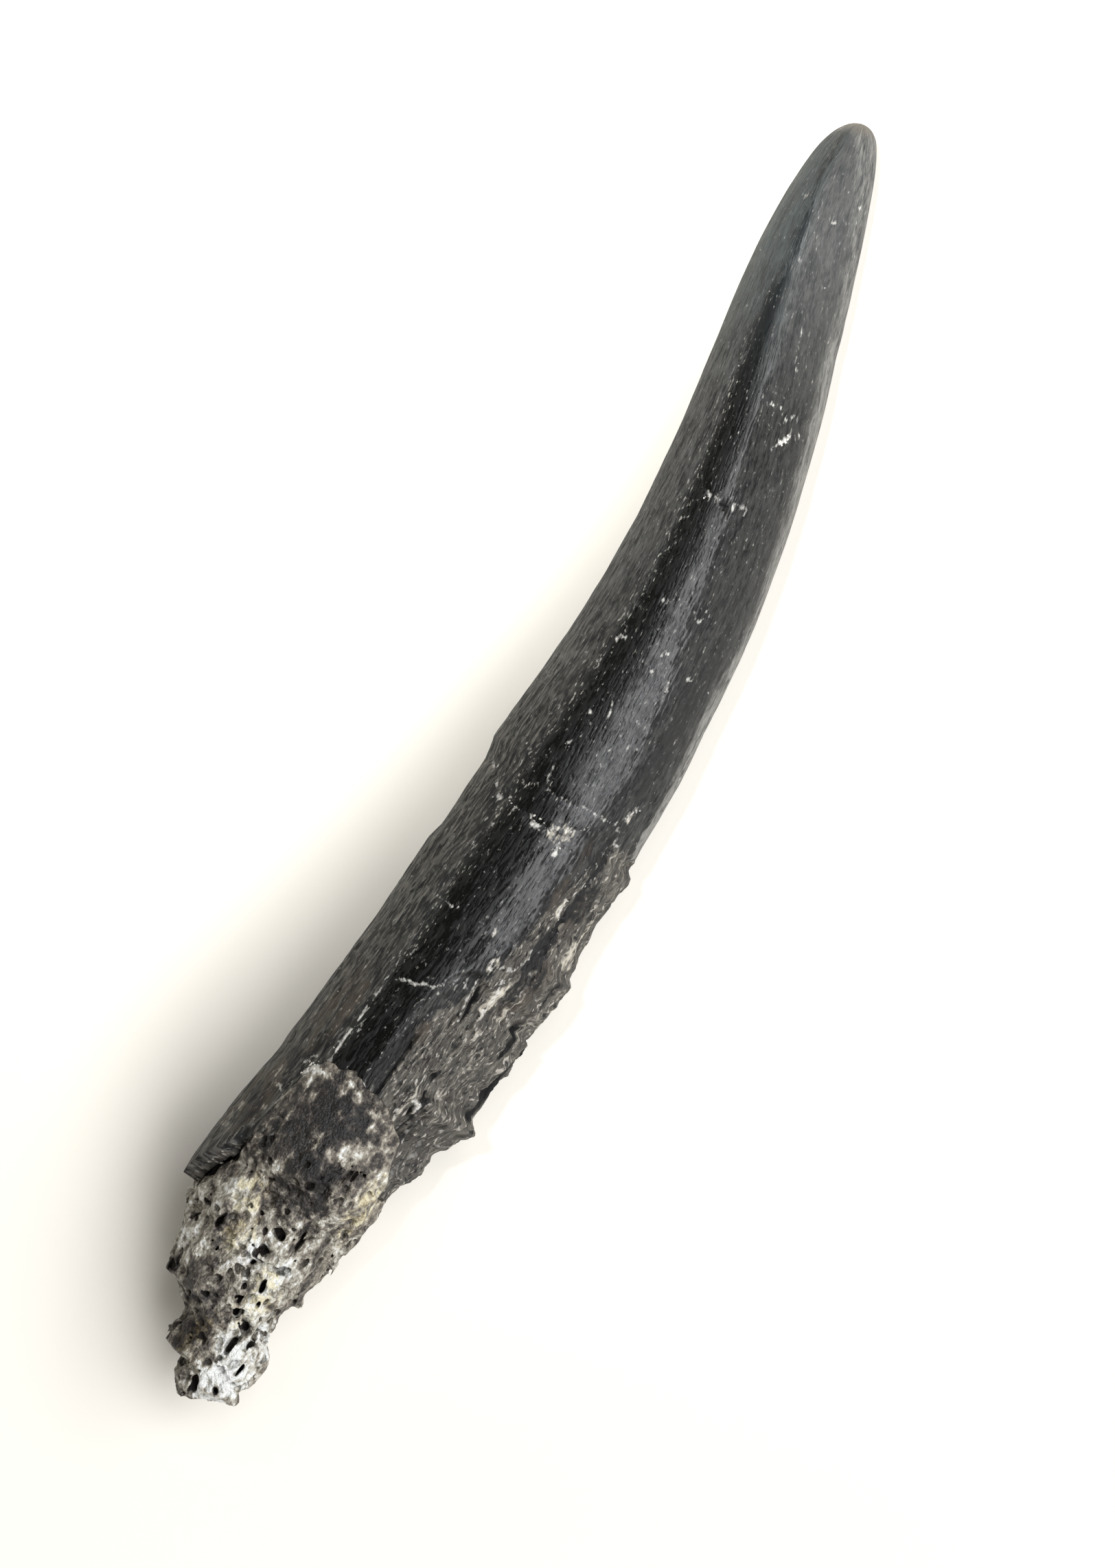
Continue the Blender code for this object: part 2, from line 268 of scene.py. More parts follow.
# The slots are sunk like grooves and also painted near-black and fully rough: painted shade in the cracks
PAINTED_SHADE_SLOTS = (
    (((17.5, 3.27), (16.5, 3.29)), 0.42, 0.04),
    (((19.7, 3.22), (19.0, 3.26)), 0.42, 0.04),
    (((17.2, 3.63), (16.0, 3.63), (14.1, 3.6)), 0.5, 0.04),
    (((18.1, 1.15), (17.5, 1.25), (16.8, 1.33)), 0.13, 0.2),
    (((12.8, 2.0), (11.9, 2.05)), 0.2, 0.3),
    (((13.9, 1.85), (13.6, 1.8)), 0.14, 0.2),
    (((13.15, 1.75), (12.95, 1.8)), 0.14, 0.2),
    (((15.1, 0.2), (14.0, 0.22), (12.9, 0.2)), 0.12, 0.1),
    (((11.0, 2.2), (10.4, 2.5)), 0.2, 0.1),
    (((37.55, 0.05), (37.55, 0.3)), 0.13, 0.12),
)

# White calcite in the cracks: a bent line through (s, t), half width, and how pale and dense it is
CALCITE_LINES = (
    (((49.25, -0.75), (49.25, -0.6)), 0.09, 0.5),
    (((48.6, 0.55), (48.45, 0.7)), 0.10, 0.5),
    (((49.4, 1.4), (49.4, 1.5)), 0.10, 0.6),
    (((46.8, -0.2), (46.8, -0.1)), 0.07, 0.45),
    (((43.2, 0.95), (43.15, 0.9)), 0.14, 0.35),
    (((43.5, 0.82), (43.45, 0.8)), 0.12, 0.45),
    (((43.85, 0.8), (43.8, 0.8)), 0.11, 0.45),
    (((44.5, 0.68), (44.15, 0.72)), 0.07, 0.3),
    (((41.3, 0.2), (41.45, 0.5), (41.45, 0.9), (41.3, 1.2), (41.35, 1.6)), 0.06, 0.6),
    (((41.4, 0.4), (41.4, 0.55)), 0.09, 0.8),
    (((41.0, 1.05), (41.0, 1.15)), 0.08, 0.5),
    (((40.3, 1.2), (40.5, 1.4), (40.75, 1.5)), 0.15, 1.0),
    (((40.75, 1.5), (40.85, 2.05)), 0.06, 0.6),
    (((40.3, 1.2), (40.05, 1.0)), 0.06, 0.6),
    (((37.45, -0.62), (37.5, -0.45)), 0.10, 0.9),
    (((37.6, -0.25), (37.65, -0.1)), 0.08, 0.6),
    (((37.4, 0.5), (37.7, 0.5)), 0.09, 0.55),
    (((37.7, 0.7), (37.8, 0.95), (37.55, 1.02)), 0.06, 0.5),
    (((33.55, -0.5), (33.6, 0.0), (33.5, 0.5), (33.4, 1.0), (33.6, 1.5)), 0.05, 0.4),
    (((33.4, 0.85), (33.45, 0.95)), 0.08, 0.6),
    (((31.4, -1.5), (31.7, -1.0)), 0.06, 0.7),
    (((31.2, -1.3), (31.6, -1.3)), 0.06, 0.5),
    (((31.75, 0.4), (31.8, 0.6)), 0.11, 0.8),
    (((31.0, 0.3), (31.1, 0.5)), 0.10, 0.5),
    (((31.0, 1.05), (30.4, 1.15)), 0.10, 0.5),
    (((31.2, 1.65), (31.25, 1.75)), 0.08, 0.8),
    (((29.0, 0.72), (29.05, 0.8)), 0.08, 0.8),
    (((28.15, 0.85), (28.05, 0.9)), 0.08, 0.6),
    (((28.65, -0.95), (28.55, -0.85)), 0.09, 0.7),
    (((27.3, -1.15), (27.2, -1.05)), 0.11, 0.7),
    (((29.3, -0.4), (28.8, -0.25)), 0.05, 0.5),
    (((25.3, -0.95), (25.4, -0.4), (25.5, 0.3), (25.6, 1.2), (25.5, 1.7), (25.5, 2.2)), 0.06, 0.3),
    (((25.6, 1.25), (25.55, 1.65)), 0.08, 0.6),
    (((26.4, -1.12), (25.3, -0.92)), 0.05, 0.35),
    (((26.4, 2.35), (25.9, 2.15)), 0.15, 0.7),
    (((24.3, -0.8), (24.1, -0.5)), 0.24, 0.65),
    (((24.2, -0.15), (24.4, 0.2)), 0.24, 0.5),
    (((24.45, 0.45), (24.6, 0.75)), 0.18, 0.5),
    (((24.8, 1.0), (24.95, 1.15)), 0.13, 0.6),
    (((23.95, 0.5), (23.65, 0.58)), 0.14, 0.8),
    (((25.4, -3.15), (25.1, -3.0)), 0.14, 0.55),
    (((25.1, -3.0), (25.25, -2.85)), 0.10, 0.5),
    (((24.75, -2.62), (24.68, -2.55)), 0.16, 0.6),
    (((24.4, -2.25), (24.3, -2.15)), 0.18, 0.65),
    (((24.33, -1.87), (24.3, -1.82)), 0.14, 0.6),
    (((24.2, -1.55), (24.2, -1.4)), 0.10, 0.5),
    (((22.45, 1.95), (22.35, 2.0)), 0.14, 0.8),
    (((22.15, 2.0), (21.8, 2.1)), 0.17, 0.95),
    (((23.25, 2.18), (23.1, 2.15)), 0.14, 0.9),
    (((22.9, 2.1), (22.75, 2.1)), 0.12, 0.7),
    (((23.95, 2.15), (23.85, 2.15)), 0.12, 0.6),
    (((24.55, 2.28), (24.35, 2.25)), 0.12, 0.6),
    (((25.2, 2.25), (24.95, 2.45)), 0.10, 0.5),
    (((23.9, -2.05), (23.75, -2.05)), 0.12, 0.45),
    (((23.5, -1.9), (22.9, -1.9)), 0.10, 0.4),
    (((22.4, -2.9), (22.0, -2.8)), 0.12, 0.3),
    (((21.2, 3.2), (20.7, 3.1)), 0.12, 0.7),
    (((20.15, 0.33), (19.95, 0.42)), 0.10, 0.5),
    (((20.2, 1.9), (19.9, 1.97), (19.5, 1.75), (19.1, 1.25)), 0.05, 0.55),
    (((19.85, -2.15), (19.95, -1.6), (20.0, -1.2)), 0.06, 0.5),
    (((19.5, 0.8), (19.4, 0.9)), 0.08, 0.6),
    (((19.1, 0.9), (18.8, 1.0)), 0.13, 0.65),
    (((18.4, 0.88), (17.9, 0.95), (17.2, 1.05), (16.7, 1.2)), 0.07, 0.58),
    (((18.0, 0.55), (17.7, 0.66)), 0.12, 0.6),
    (((17.7, 0.1), (17.55, 0.35)), 0.14, 0.4),
    (((17.85, -1.62), (17.65, -1.68)), 0.11, 0.7),
    (((18.9, 1.6), (18.5, 1.65), (17.8, 1.85), (17.3, 1.8)), 0.12, 0.8),
    (((18.8, 2.45), (18.0, 2.55)), 0.10, 0.5),
    (((17.5, 2.55), (17.3, 2.65)), 0.10, 0.5),
    (((16.8, 2.1), (16.4, 2.05)), 0.07, 0.7),
    (((16.7, -1.6), (16.9, -1.0), (17.15, -0.55), (17.4, -0.1)), 0.07, 0.7),
    (((15.95, -1.85), (15.5, -1.88)), 0.06, 0.7),
    (((15.3, -1.9), (14.7, -1.85)), 0.07, 0.9),
    (((14.3, -1.88), (13.25, -1.87)), 0.07, 1.0),
    (((14.35, -1.6), (14.1, -1.8)), 0.06, 0.5),
    (((15.7, -1.38), (15.7, -1.3)), 0.06, 0.6),
    (((14.35, 1.4), (13.6, 1.5)), 0.06, 0.6),
    (((13.4, 1.55), (13.4, 1.85)), 0.15, 1.0),
    (((12.8, 1.3), (12.5, 1.4), (11.9, 1.45)), 0.08, 0.7),
    (((12.85, -2.3), (12.8, -2.5), (12.3, -2.6)), 0.06, 0.6),
    (((12.75, -1.0), (12.75, -0.6), (12.6, -0.2), (12.45, 0.1)), 0.24, 0.75),
    (((12.05, -2.35), (12.3, -2.25), (12.4, -1.95)), 0.26, 1.0),
    (((12.55, -1.8), (12.5, -1.5), (12.3, -1.15)), 0.09, 0.8),
    (((11.7, -1.95), (11.2, -2.1)), 0.08, 0.6),
    (((11.1, -2.85), (10.9, -2.55), (10.5, -2.5)), 0.10, 0.5),
    (((12.2, 0.7), (11.7, 0.75)), 0.12, 0.7),
    (((12.7, 0.2), (12.35, 0.4), (12.2, 0.7)), 0.08, 0.7),
)
# Dark grains of matrix on the broken edge, in the same way
MATRIX_LINES = (
    (((13.6, 3.55), (12.9, 3.7), (12.2, 3.5)), 0.2, 0.8),
    (((12.4, 3.1), (11.2, 3.1), (10.7, 2.7)), 0.3, 0.8),
    (((12.9, 2.2), (11.6, 1.6)), 0.3, 0.6),
)
THINNEST_WHITE = 0.1  # half width (mm) under which a line is drawn this wide, and has no crumbs
CRUMBS_PER_MM = 9
FLATNESS = 0.4  # height of a crumb against its width
CRUMB_SIZE = 0.3
CRUMB_STRAY = 0.45
SCATTERED_CRUMBS = 110
SCATTERED_SIZE = (0.02, 0.05)
SCATTERED_PALENESS = (0.1, 0.45)

# Pale and dark patches of the bone in the same way, and its ochre stains
BONE_TONES = (
    (0.9, 1.5, 1.0, 0.85, 0.5), (1.9, 1.6, 1.3, 1.0, 0.36), (2.7, 1.9, 0.8, 0.5, 0.28),
    (3.7, 1.1, 0.8, 0.6, 0.42), (4.6, 1.0, 1.2, 0.5, 0.32), (4.2, 0.2, 0.9, 0.35, 0.25),
    (5.3, -0.2, 0.9, 0.3, 0.32), (6.65, 0.35, 0.6, 0.5, 0.38), (5.5, 0.8, 0.8, 0.6, 0.25),
    (6.0, -0.9, 1.0, 0.4, 0.42), (7.2, -1.4, 0.8, 0.5, 0.5), (8.5, -1.25, 0.6, 0.25, 0.4),
    (5.6, -2.4, 1.7, 0.7, 0.18), (4.6, -2.2, 0.8, 0.6, 0.1), (9.6, 2.2, 1.4, 0.45, 0.3),
    (7.4, 1.3, 0.5, 0.3, 0.2), (9.5, 1.0, 1.3, 0.5, -0.15), (10.6, 0.8, 0.5, 0.5, 0.22),
    (10.5, -0.45, 0.5, 0.13, 0.6), (3.4, -1.1, 1.1, 0.8, -0.3), (3.4, -2.3, 0.4, 0.25, -0.4),
    (1.9, -0.3, 1.3, 0.6, -0.25), (1.2, -0.7, 0.3, 0.25, -0.2), (8.4, -0.2, 1.4, 0.9, -0.4),
    (10.8, -1.3, 2.0, 1.3, -0.48), (11.5, -0.1, 1.2, 0.9, -0.5), (7.0, -2.7, 0.9, 0.4, -0.18),
    (6.9, 0.95, 0.8, 0.12, -0.4), (5.2, 2.2, 0.6, 0.25, -0.2), (7.9, 1.7, 0.8, 0.4, 0.1),
    (6.2, 1.35, 1.2, 0.45, 0.22), (7.0, 2.3, 0.7, 0.2, 0.1), (4.9, 1.5, 0.7, 0.4, 0.15),
    (9.0, 0.5, 1.2, 0.5, -0.4), (5.8, -1.75, 0.5, 0.15, -0.3), (9.0, -2.9, 1.5, 0.7, -0.12),
    (12.1, -2.35, 0.25, 0.16, 0.9), (12.3, -2.0, 0.2, 0.22, 1.0), (12.4, -1.6, 0.12, 0.25, 0.8),
    (12.6, -0.75, 0.14, 0.25, 0.6), (12.4, -0.3, 0.22, 0.25, 0.7), (12.6, -1.15, 0.3, 0.12, -0.4),
    (12.2, 0.45, 0.12, 0.3, 0.5), (12.5, 0.2, 0.2, 0.12, -0.3), (11.8, 0.75, 0.25, 0.1, 0.6),
    (11.0, -2.5, 0.4, 0.1, 0.6), (10.3, -1.9, 0.6, 0.07, 0.5), (11.7, -2.0, 0.4, 0.08, 0.6),
)
OCHRE = (
    (6.0, -0.9, 1.0, 0.45),
    (7.2, -1.3, 0.8, 0.6),
    (4.4, 1.0, 1.2, 0.6),
    (9.2, 2.2, 1.5, 0.4),
    (1.9, -0.2, 1.2, 0.5),
)

# Fineness of the meshes
AROUND = 264
TOP_FINER = 0.35  # how much closer the columns lie on top than the average
TIP_ROWS = 26
CROWN_ROWS = 136
NECK_ROWS = 80
ROOT_ROWS = 104
HOLLOW_ROWS = 8
TIP_ROWS_END = 49.4
NECK_START = 26.6
VOXEL = 0.092

# Camera: straight above, the object's middle height in focus, 40.1 pixels of the 2283-pixel frame to a mm
PIXELS_HIGH = 2283
PIXELS_PER_MM = 40.1
CAMERA_DISTANCE = 300.0
CAMERA_OVER = (-0.18, -0.77)
CAMERA_TURN = math.radians(26.7)
MIDDLE_HEIGHT = 3.3
SENSOR_MM = 36.0

# Table and lights (m): name, two corners (x, y), height, radiance, colour, and whether the tooth mirrors it
TABLE_HALF = 0.6
TABLE_BELOW = 0.00002
PANELS = (
    ("root_panel", (-0.35, -0.42), (0.16, -0.28), 0.8, 2.3, "#fbfbfd", True),
    ("tip_panel", (0.16, -0.42), (0.5, 0.09), 0.8, 4.2, "#fafbff", True),
    ("window_panel", (-1.1, -1.12), (1.1, -0.42), 0.8, 4.4, "#fafbff", True),
    ("table_panel", (-0.35, -0.42), (0.16, -0.14), 0.8, 2.4, "#fafbff", False),
    ("fill_panel", (-0.5, 0.25), (0.5, 0.75), 0.9, 0.95, "#fffdf8", False),
)


def smooth(value, low, high):
    """0 below low, 1 above high, and smooth between them."""
    x = np.clip((value - low) / (high - low), 0, 1)
    return x * x * (3 - 2 * x)


def centreline(s):
    """Centre (x, y) and heading of the bent line at s."""
    radius = (BEND_END - BEND_START) / (TIP_HEADING - ROOT_HEADING)
    heading = ROOT_HEADING + (np.clip(s, BEND_START, BEND_END) - BEND_START) / radius
    before = np.minimum(s, BEND_START)
    after = np.maximum(s - BEND_END, 0)
    x = before * math.cos(ROOT_HEADING) + after * math.cos(TIP_HEADING)
    y = before * math.sin(ROOT_HEADING) + after * math.sin(TIP_HEADING)
    x += radius * (np.sin(heading) - math.sin(ROOT_HEADING))
    y += ROOT_OFFSET - radius * (np.cos(heading) - math.cos(ROOT_HEADING))
    return x, y, heading


def at_stations(s, stations, column=1):
    """A value at s, between those given at stations along."""
    table = np.array(stations)
    return np.interp(s, table[:, 0], table[:, column])


def origin_shift():
    """From the centreline's own axes to the frame's, by the record's rest mount."""
    rest = np.array(frame["record"]["mounts"][0]["pos_m"]) / MM
    x, y, _ = centreline(np.array(REST_AT))
    return np.array([rest[0] - x, rest[1] - y, 0])


SHIFT = origin_shift()


def half_width(s):
    """Half the tooth's width: full along the root, then a long taper to a blunt, round tip."""
    x = np.clip((s - TAPER_START) / (TIP - TAPER_START), 0, 1)
    to_tip = np.maximum(TIP - s, 0)
    rounded = (to_tip / (to_tip + TIP_ROUNDED)) ** (0.5 - TIP_BLUNTNESS)
    return HALF_WIDTH * (1 - x**TAPER_SHAPE) ** TIP_BLUNTNESS * rounded


def centre_height(s):
    """Height of the centreline when the tooth lies along its underside."""
    lying = DEPTH_TO_WIDTH * half_width(np.minimum(s, LIES_TO)) - REST_FLAT
    return lying - TIP_DROP * np.maximum(s - LIES_TO, 0)


def placed(s, side, height):
    """Points (n, 3) in mm, from distances along, to the concave side and above the centreline."""
    x, y, heading = centreline(s)
    z = np.maximum(centre_height(s) + height, 0)
    return np.stack([x - side * np.sin(heading), y + side * np.cos(heading), z], axis=-1) + SHIFT


def section_points(s, angle):
    """A point of a plain tube of the tooth's size for each s and angle, as input to the noises."""
    s, angle = np.broadcast_arrays(s, angle)
    return np.stack([s, HALF_WIDTH * np.cos(angle), HALF_WIDTH * np.sin(angle)], axis=-1)


def perlin(points, size):
    """Smooth noise from -1 to 1, with bumps of about the given size in mm (along, across)."""
    scaled = points / np.array([size[0], size[1], size[1]])
    flat = scaled.reshape(-1, 3)
    return np.array([noise.noise(Vector(p)) for p in flat]).reshape(points.shape[:-1])


def turned(angle, degrees):
    """How far round an angle is from a place given in degrees, in degrees from 0 to 180."""
    return np.abs((np.degrees(angle) - degrees + 180) % 360 - 180)


def ledge(s, angle, bounds):
    """One raised or sunken patch, with steep edges."""
    start, end, low, high, height = bounds
    degrees = (np.degrees(angle) + 90) % 360 - 90
    along = smooth(s, start - LEDGE_EDGE / 2, start + LEDGE_EDGE / 2)
    along = along * (1 - smooth(s, end - LEDGE_EDGE / 2, end + LEDGE_EDGE / 2))
    around = smooth(degrees, low - LEDGE_EDGE_ANGLE, low)
    around = around * (1 - smooth(degrees, high, high + LEDGE_EDGE_ANGLE))
    return height * along * around


def tooth_relief(s, angle):
    """How far the tooth's surface stands out from its smooth form."""
    skin = section_points(s, angle)
    wander = LEDGE_WANDER * lattice_noise(skin, (0.8, 0.8), 13)
    relief = sum(ledge(s + wander, angle + wander / HALF_WIDTH, bounds) for bounds in LEDGES)
    relief = relief + at_stations(s, CONCAVE_SIDE) * np.maximum(np.cos(angle), 0)
    relief = relief + at_stations(s + wander / 4, CONVEX_SIDE) * np.maximum(-np.cos(angle), 0)
    grain = perlin(skin, (5.0, 0.7))
    return relief + GRAIN * grain * (1 - smooth(s, RIM, GRAIN_START))


def section(s, angle):
    """Side and height of the smooth form round the centreline, and how far the ridge and the tip lean."""
    roof = smooth(s, ROOF_START, ROOF_FULL)
    power = 1 + ROOF_CREASE * roof
    across = np.sign(np.cos(angle)) * np.abs(np.cos(angle)) ** power
    up = np.sign(np.sin(angle)) * np.abs(np.sin(angle)) ** power
    wide = half_width(s)
    ridge = ROOF_OFFSET * roof * np.minimum(wide / ROOF_OFFSET_WIDTH, 1) * np.maximum(up, 0) ** 2
    lean = np.maximum(s - LEAN_START, 0) / (TIP - LEAN_START)
    return wide * across, DEPTH_TO_WIDTH * wide * up, ridge - TIP_LEAN * lean**LEAN_SHAPE


def tooth_points(s, angle, relief, inwards=0.0, scale=1.0):
    """Points of the tooth's surface, or of one set in by a wall and scaled in."""
    out = relief * smooth(TIP - s, 0, 1) - inwards
    side, height, aside = section(s, angle)
    side = (side + out * np.cos(angle)) * scale + aside
    return placed(s, side, (height + out * np.sin(angle)) * scale)


def rim(angle):
    """Where the broken wall ends: a few tongues, and ragged all round."""
    points = section_points(np.zeros_like(angle), angle)
    ragged = perlin(points, (1.0, 0.9))
    chips = lattice_noise(points, (1.0, 0.35), 16) + 0.5 * lattice_noise(points, (1.0, 0.16), 17)
    tongues = sum(
        reach * (1 - smooth(turned(angle, at), 0, spread)) for at, spread, reach in RIM_TONGUES
    )
    return RIM - tongues + RIM_RAGGED * ragged + RIM_CHIPS * chips


def tooth_rows(angle):
    """Distances along (rows, columns) of the outer surface, from just below the tip to the rim."""
    tip_steps = (np.arange(1, TIP_ROWS + 1) / TIP_ROWS) ** 2
    crown = np.concatenate([
        TIP - (TIP - TIP_ROWS_END) * tip_steps,
        np.linspace(TIP_ROWS_END, NECK_START, CROWN_ROWS + 1)[1:],
        np.linspace(NECK_START, RIM_BLEND_END, NECK_ROWS + 1)[1:],
    ])
    steps = np.linspace(1, 0, ROOT_ROWS + 1)[1:, None]
    root = rim(angle) + steps * (RIM_BLEND_END - rim(angle))
    return np.concatenate([np.repeat(crown[:, None], len(angle), axis=1), root])


def grid_mesh(name, rows, north, south, around, along):
    """A closed mesh from rows of points between two poles, with a UV map of around and along."""
    count, columns = rows.shape[:2]
    points = np.concatenate([[north], rows.reshape(-1, 3), [south]]) * MM
    here = 1 + np.arange(count * columns).reshape(count, columns)
    east = np.roll(here, -1, axis=1)
    quads = np.stack([here[:-1], here[1:], east[1:], east[:-1]], axis=-1).reshape(-1, 4)
    top = np.stack([np.zeros(columns, int), here[0], east[0]], axis=-1)
    bottom = np.stack([np.full(columns, len(points) - 1), east[-1], here[-1]], axis=-1)
    mesh = bpy.data.meshes.new(name)
    mesh.from_pydata(points.tolist(), [], quads.tolist() + top.tolist() + bottom.tolist())
    v0 = np.tile(around[:-1], (count - 1, 1))
    v1 = np.tile(around[1:], (count - 1, 1))
    u0, u1 = along[:-1], along[1:]
    quad_uv = np.stack([
        np.stack([u0, v0], -1), np.stack([u1, v0], -1), np.stack([u1, v1], -1), np.stack([u0, v1], -1),
    ], axis=2)
    middle = (around[:-1] + around[1:]) / 2
    top_uv = np.stack([
        np.stack([along[0] * 0, middle], -1),
        np.stack([along[0], around[:-1]], -1),
        np.stack([along[0], around[1:]], -1),
    ], axis=1)
    bottom_uv = np.stack([
        np.stack([along[-1] * 0 + 1, middle], -1),
        np.stack([along[-1], around[1:]], -1),
        np.stack([along[-1], around[:-1]], -1),
    ], axis=1)
    flat = np.concatenate([quad_uv.reshape(-1), top_uv.reshape(-1), bottom_uv.reshape(-1)])
    layer = mesh.uv_layers.new(name="OFBake")
    layer.data.foreach_set("uv", flat.astype(np.float32))
    return mesh


def per_point(mesh, name, values):
    """Stores one number or one vector for each point of a mesh, for its material to read."""
    kind = "FLOAT_VECTOR" if values.ndim == 2 else "FLOAT"
    layer = mesh.attributes.new(name, kind, "POINT")
    layer.data.foreach_set("vector" if values.ndim == 2 else "value", values.astype(np.float32).ravel())


def in_scene(name, data):
    """A new object in the scene."""
    made = bpy.data.objects.new(name, data)
    bpy.context.scene.collection.objects.link(made)
    return made


def shown_piece(mesh, slot, *nodes):
    """Puts a mesh in the scene as a piece of the object that stands for CAD nodes."""
    mesh.shade_smooth()
    piece = in_scene(mesh.name, mesh)
    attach(piece, "root")
    if nodes:
        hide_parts(*nodes)
    return piece


def lattice_noise(points, size, seed):
    """Smooth noise from -1 to 1 for many points, with bumps of the given size in mm (along, across)."""
    lattice = np.random.default_rng(seed).uniform(-1, 1, (32, 32, 32))
    scaled = points / np.array([size[0], size[1], size[1]]) + 64
    low = np.floor(scaled).astype(int)
    part = scaled - low
    part = part * part * (3 - 2 * part)
    total = 0.0
    for corner in np.ndindex(2, 2, 2):
        index = tuple(np.moveaxis((low + corner) % 32, -1, 0))
        weight = np.prod(np.where(corner, part, 1 - part), axis=-1)
        total = total + lattice[index] * weight
    return total


def blob(s, t, spot, ragged):
    """1 inside an oval spot (s, t, half length, half width), 0 outside, with a ragged edge."""
    at, aside, long, wide = spot
    away = np.hypot((s - at) / long, (t - aside) / wide) + ragged
    return 1 - smooth(away, 0.75, 1.15)


def round_from_top(s, t):
    """Distance from the top measured round the surface, for a place seen from above at t."""
    radius = half_width(s)
    return radius * np.arcsin(np.clip(t / radius, -1, 1)) + np.maximum(t - radius, 0)


def stroke(s, t, line, width):
    """1 on a bent line through points (s, t), 0 past its half width, measured on the surface."""
    nearest = np.full(np.shape(s), FAR)
    turn = round_from_top(s, t)
    places = [(at, float(round_from_top(at, aside))) for at, aside in line]
    for (s0, t0), (s1, t1) in zip(places, places[1:]):
        share = ((s - s0) * (s1 - s0) + (turn - t0) * (t1 - t0)) / ((s1 - s0) ** 2 + (t1 - t0) ** 2)
        share = np.clip(share, 0, 1)
        away = np.hypot(s - s0 - share * (s1 - s0), turn - t0 - share * (t1 - t0))
        nearest = np.minimum(nearest, away)
    return 1 - smooth(nearest, 0, width)


def tone(s, t, spots, ragged):
    """Sum of the pale (above 0) and dark (below 0) patches at a place."""
    return sum(amount * blob(s, t, spot, ragged) for *spot, amount in spots)


def fibre_relief(s, skin):
    """Lengthwise fibres of the weathered surface: fine near the tip, coarse towards the root."""
    rooty = 1 - smooth(s, 18, 44)
    strands = lattice_noise(skin, (3.0, 0.30), 1) * (0.012 + 0.028 * rooty)
    dashes = lattice_noise(skin, (0.8, 0.17), 2) * (0.012 + 0.028 * rooty)
    nicks = np.minimum(0, lattice_noise(skin, (0.6, 0.22), 3) + 0.5) * (0.05 + 0.17 * rooty)
    return strands + dashes + nicks


def wood_relief(skin):
    """Torn relief of the spalled patch: strands broken off at many levels, and crumbly between."""
    levels = lattice_noise(skin, (2.0, 0.6), 6) + 0.5 * lattice_noise(skin, (0.8, 0.3), 7)
    terraces = np.floor(levels * 4) / 4
    strands = lattice_noise(skin, (0.9, 0.18), 8)
    crumbs = lattice_noise(skin, (0.25, 0.17), 9)
    holes = np.minimum(0, lattice_noise(skin, (0.5, 0.25), 15) + 0.4)
    return 0.14 * terraces + 0.06 * strands + 0.09 * crumbs + 0.4 * holes


def seen(s, angle):
    """Distance t of the places that are seen from above, and a far one for the others."""
    side, _, aside = section(s, angle)
    return np.where(np.sin(angle) > -0.2, -side - aside, UNSEEN)


def angle_of(s, t):
    """The angle at which a place (s, t) on top of the tooth lies."""
    angles = np.linspace(0, math.pi, 181)
    side, _, aside = section(s, angles)
    return float(np.interp(t, -side - aside, angles))


def bare_patch(s, t, degrees, skin):
    """How far a place lies inside the patch where the outer layer has come off the root."""
    ragged = BARE_END_RAGGED * smooth(degrees, *BARE_END_TURN) * lattice_noise(skin, (3.0, 0.45), 16)
    end = BARE_END - s + ragged
    below = (BARE_TO - degrees) / 30
    return np.minimum(np.minimum(t - at_stations(s, BARE), below), end)


def worn_surface(s, angle):
    """Full relief of the tooth's outer surface, and the fields that its material reads."""
    skin = section_points(s, angle)
    t = seen(s, angle)
    ragged = 0.3 * lattice_noise(skin, (0.9, 0.4), 10) + 0.15 * lattice_noise(skin, (0.3, 0.15), 14)
    band = np.minimum(t - at_stations(s, BAND), at_stations(s, BAND, 2) - t)
    band = np.minimum(band, s + ragged - BAND[0][0]) + 0.4 * ragged
    degrees = np.degrees(angle) % 360
    bare = bare_patch(s, t, degrees, skin) + 0.5 * ragged
    raw = smooth(bare, -0.06, 0.06)
    weathered = 1 - smooth(band, -0.1, 0.1)
    sway = 0.03 * lattice_noise(skin, (4.0, 1.0), 21)
    fibres = fibre_relief(s, skin) * (1 - raw) * (0.12 + 0.88 * weathered)
    relief = tooth_relief(s, angle) + sway + fibres + raw * (wood_relief(skin) - 0.05)
    for line, width, depth in GROOVES:
        relief = relief - depth * stroke(s + 0.4 * ragged, t, line, width)
    # slot: where the material paints the slots near-black, as painted shade in the cracks
    slot = np.zeros(np.shape(s))
    for line, width, depth in PAINTED_SHADE_SLOTS:
        here = stroke(s + 0.2 * ragged, t, line, width)
        relief = relief - depth * smooth(here, 0, 0.6)
        slot = np.maximum(slot, smooth(here, 0.2, 0.6))
    # The pale strip along the convex outline is a painted reflection, carried to the material as the field
    # edge
    from_edge = half_width(s) + at_stations(s, CONVEX_SIDE) - t + 0.3 * ragged
    painted_edge_reflection = 1 - smooth(from_edge, 0.08, at_stations(s, EDGE_REFLECTION_WIDTH))
    white = [
        pale * stroke(s + 0.5 * ragged, t, line, max(width, THINNEST_WHITE))
        for line, width, pale in CALCITE_LINES
    ]
    fields = {
        "band": np.clip(band, -1, 1),
        "bare": np.clip(bare, -1, 1),
        "edge": painted_edge_reflection * (1 - smooth(degrees + 25 * ragged, 170, 194)),
        "slot": slot,
        "tone": tone(s, t, TONES, 1.5 * ragged),
        "calcite": np.max(white, axis=0),
        "brown": np.max([blob(s, t, spot, 2 * ragged) for spot in BROWN_SPOTS], axis=0),
    }
    return relief, fields


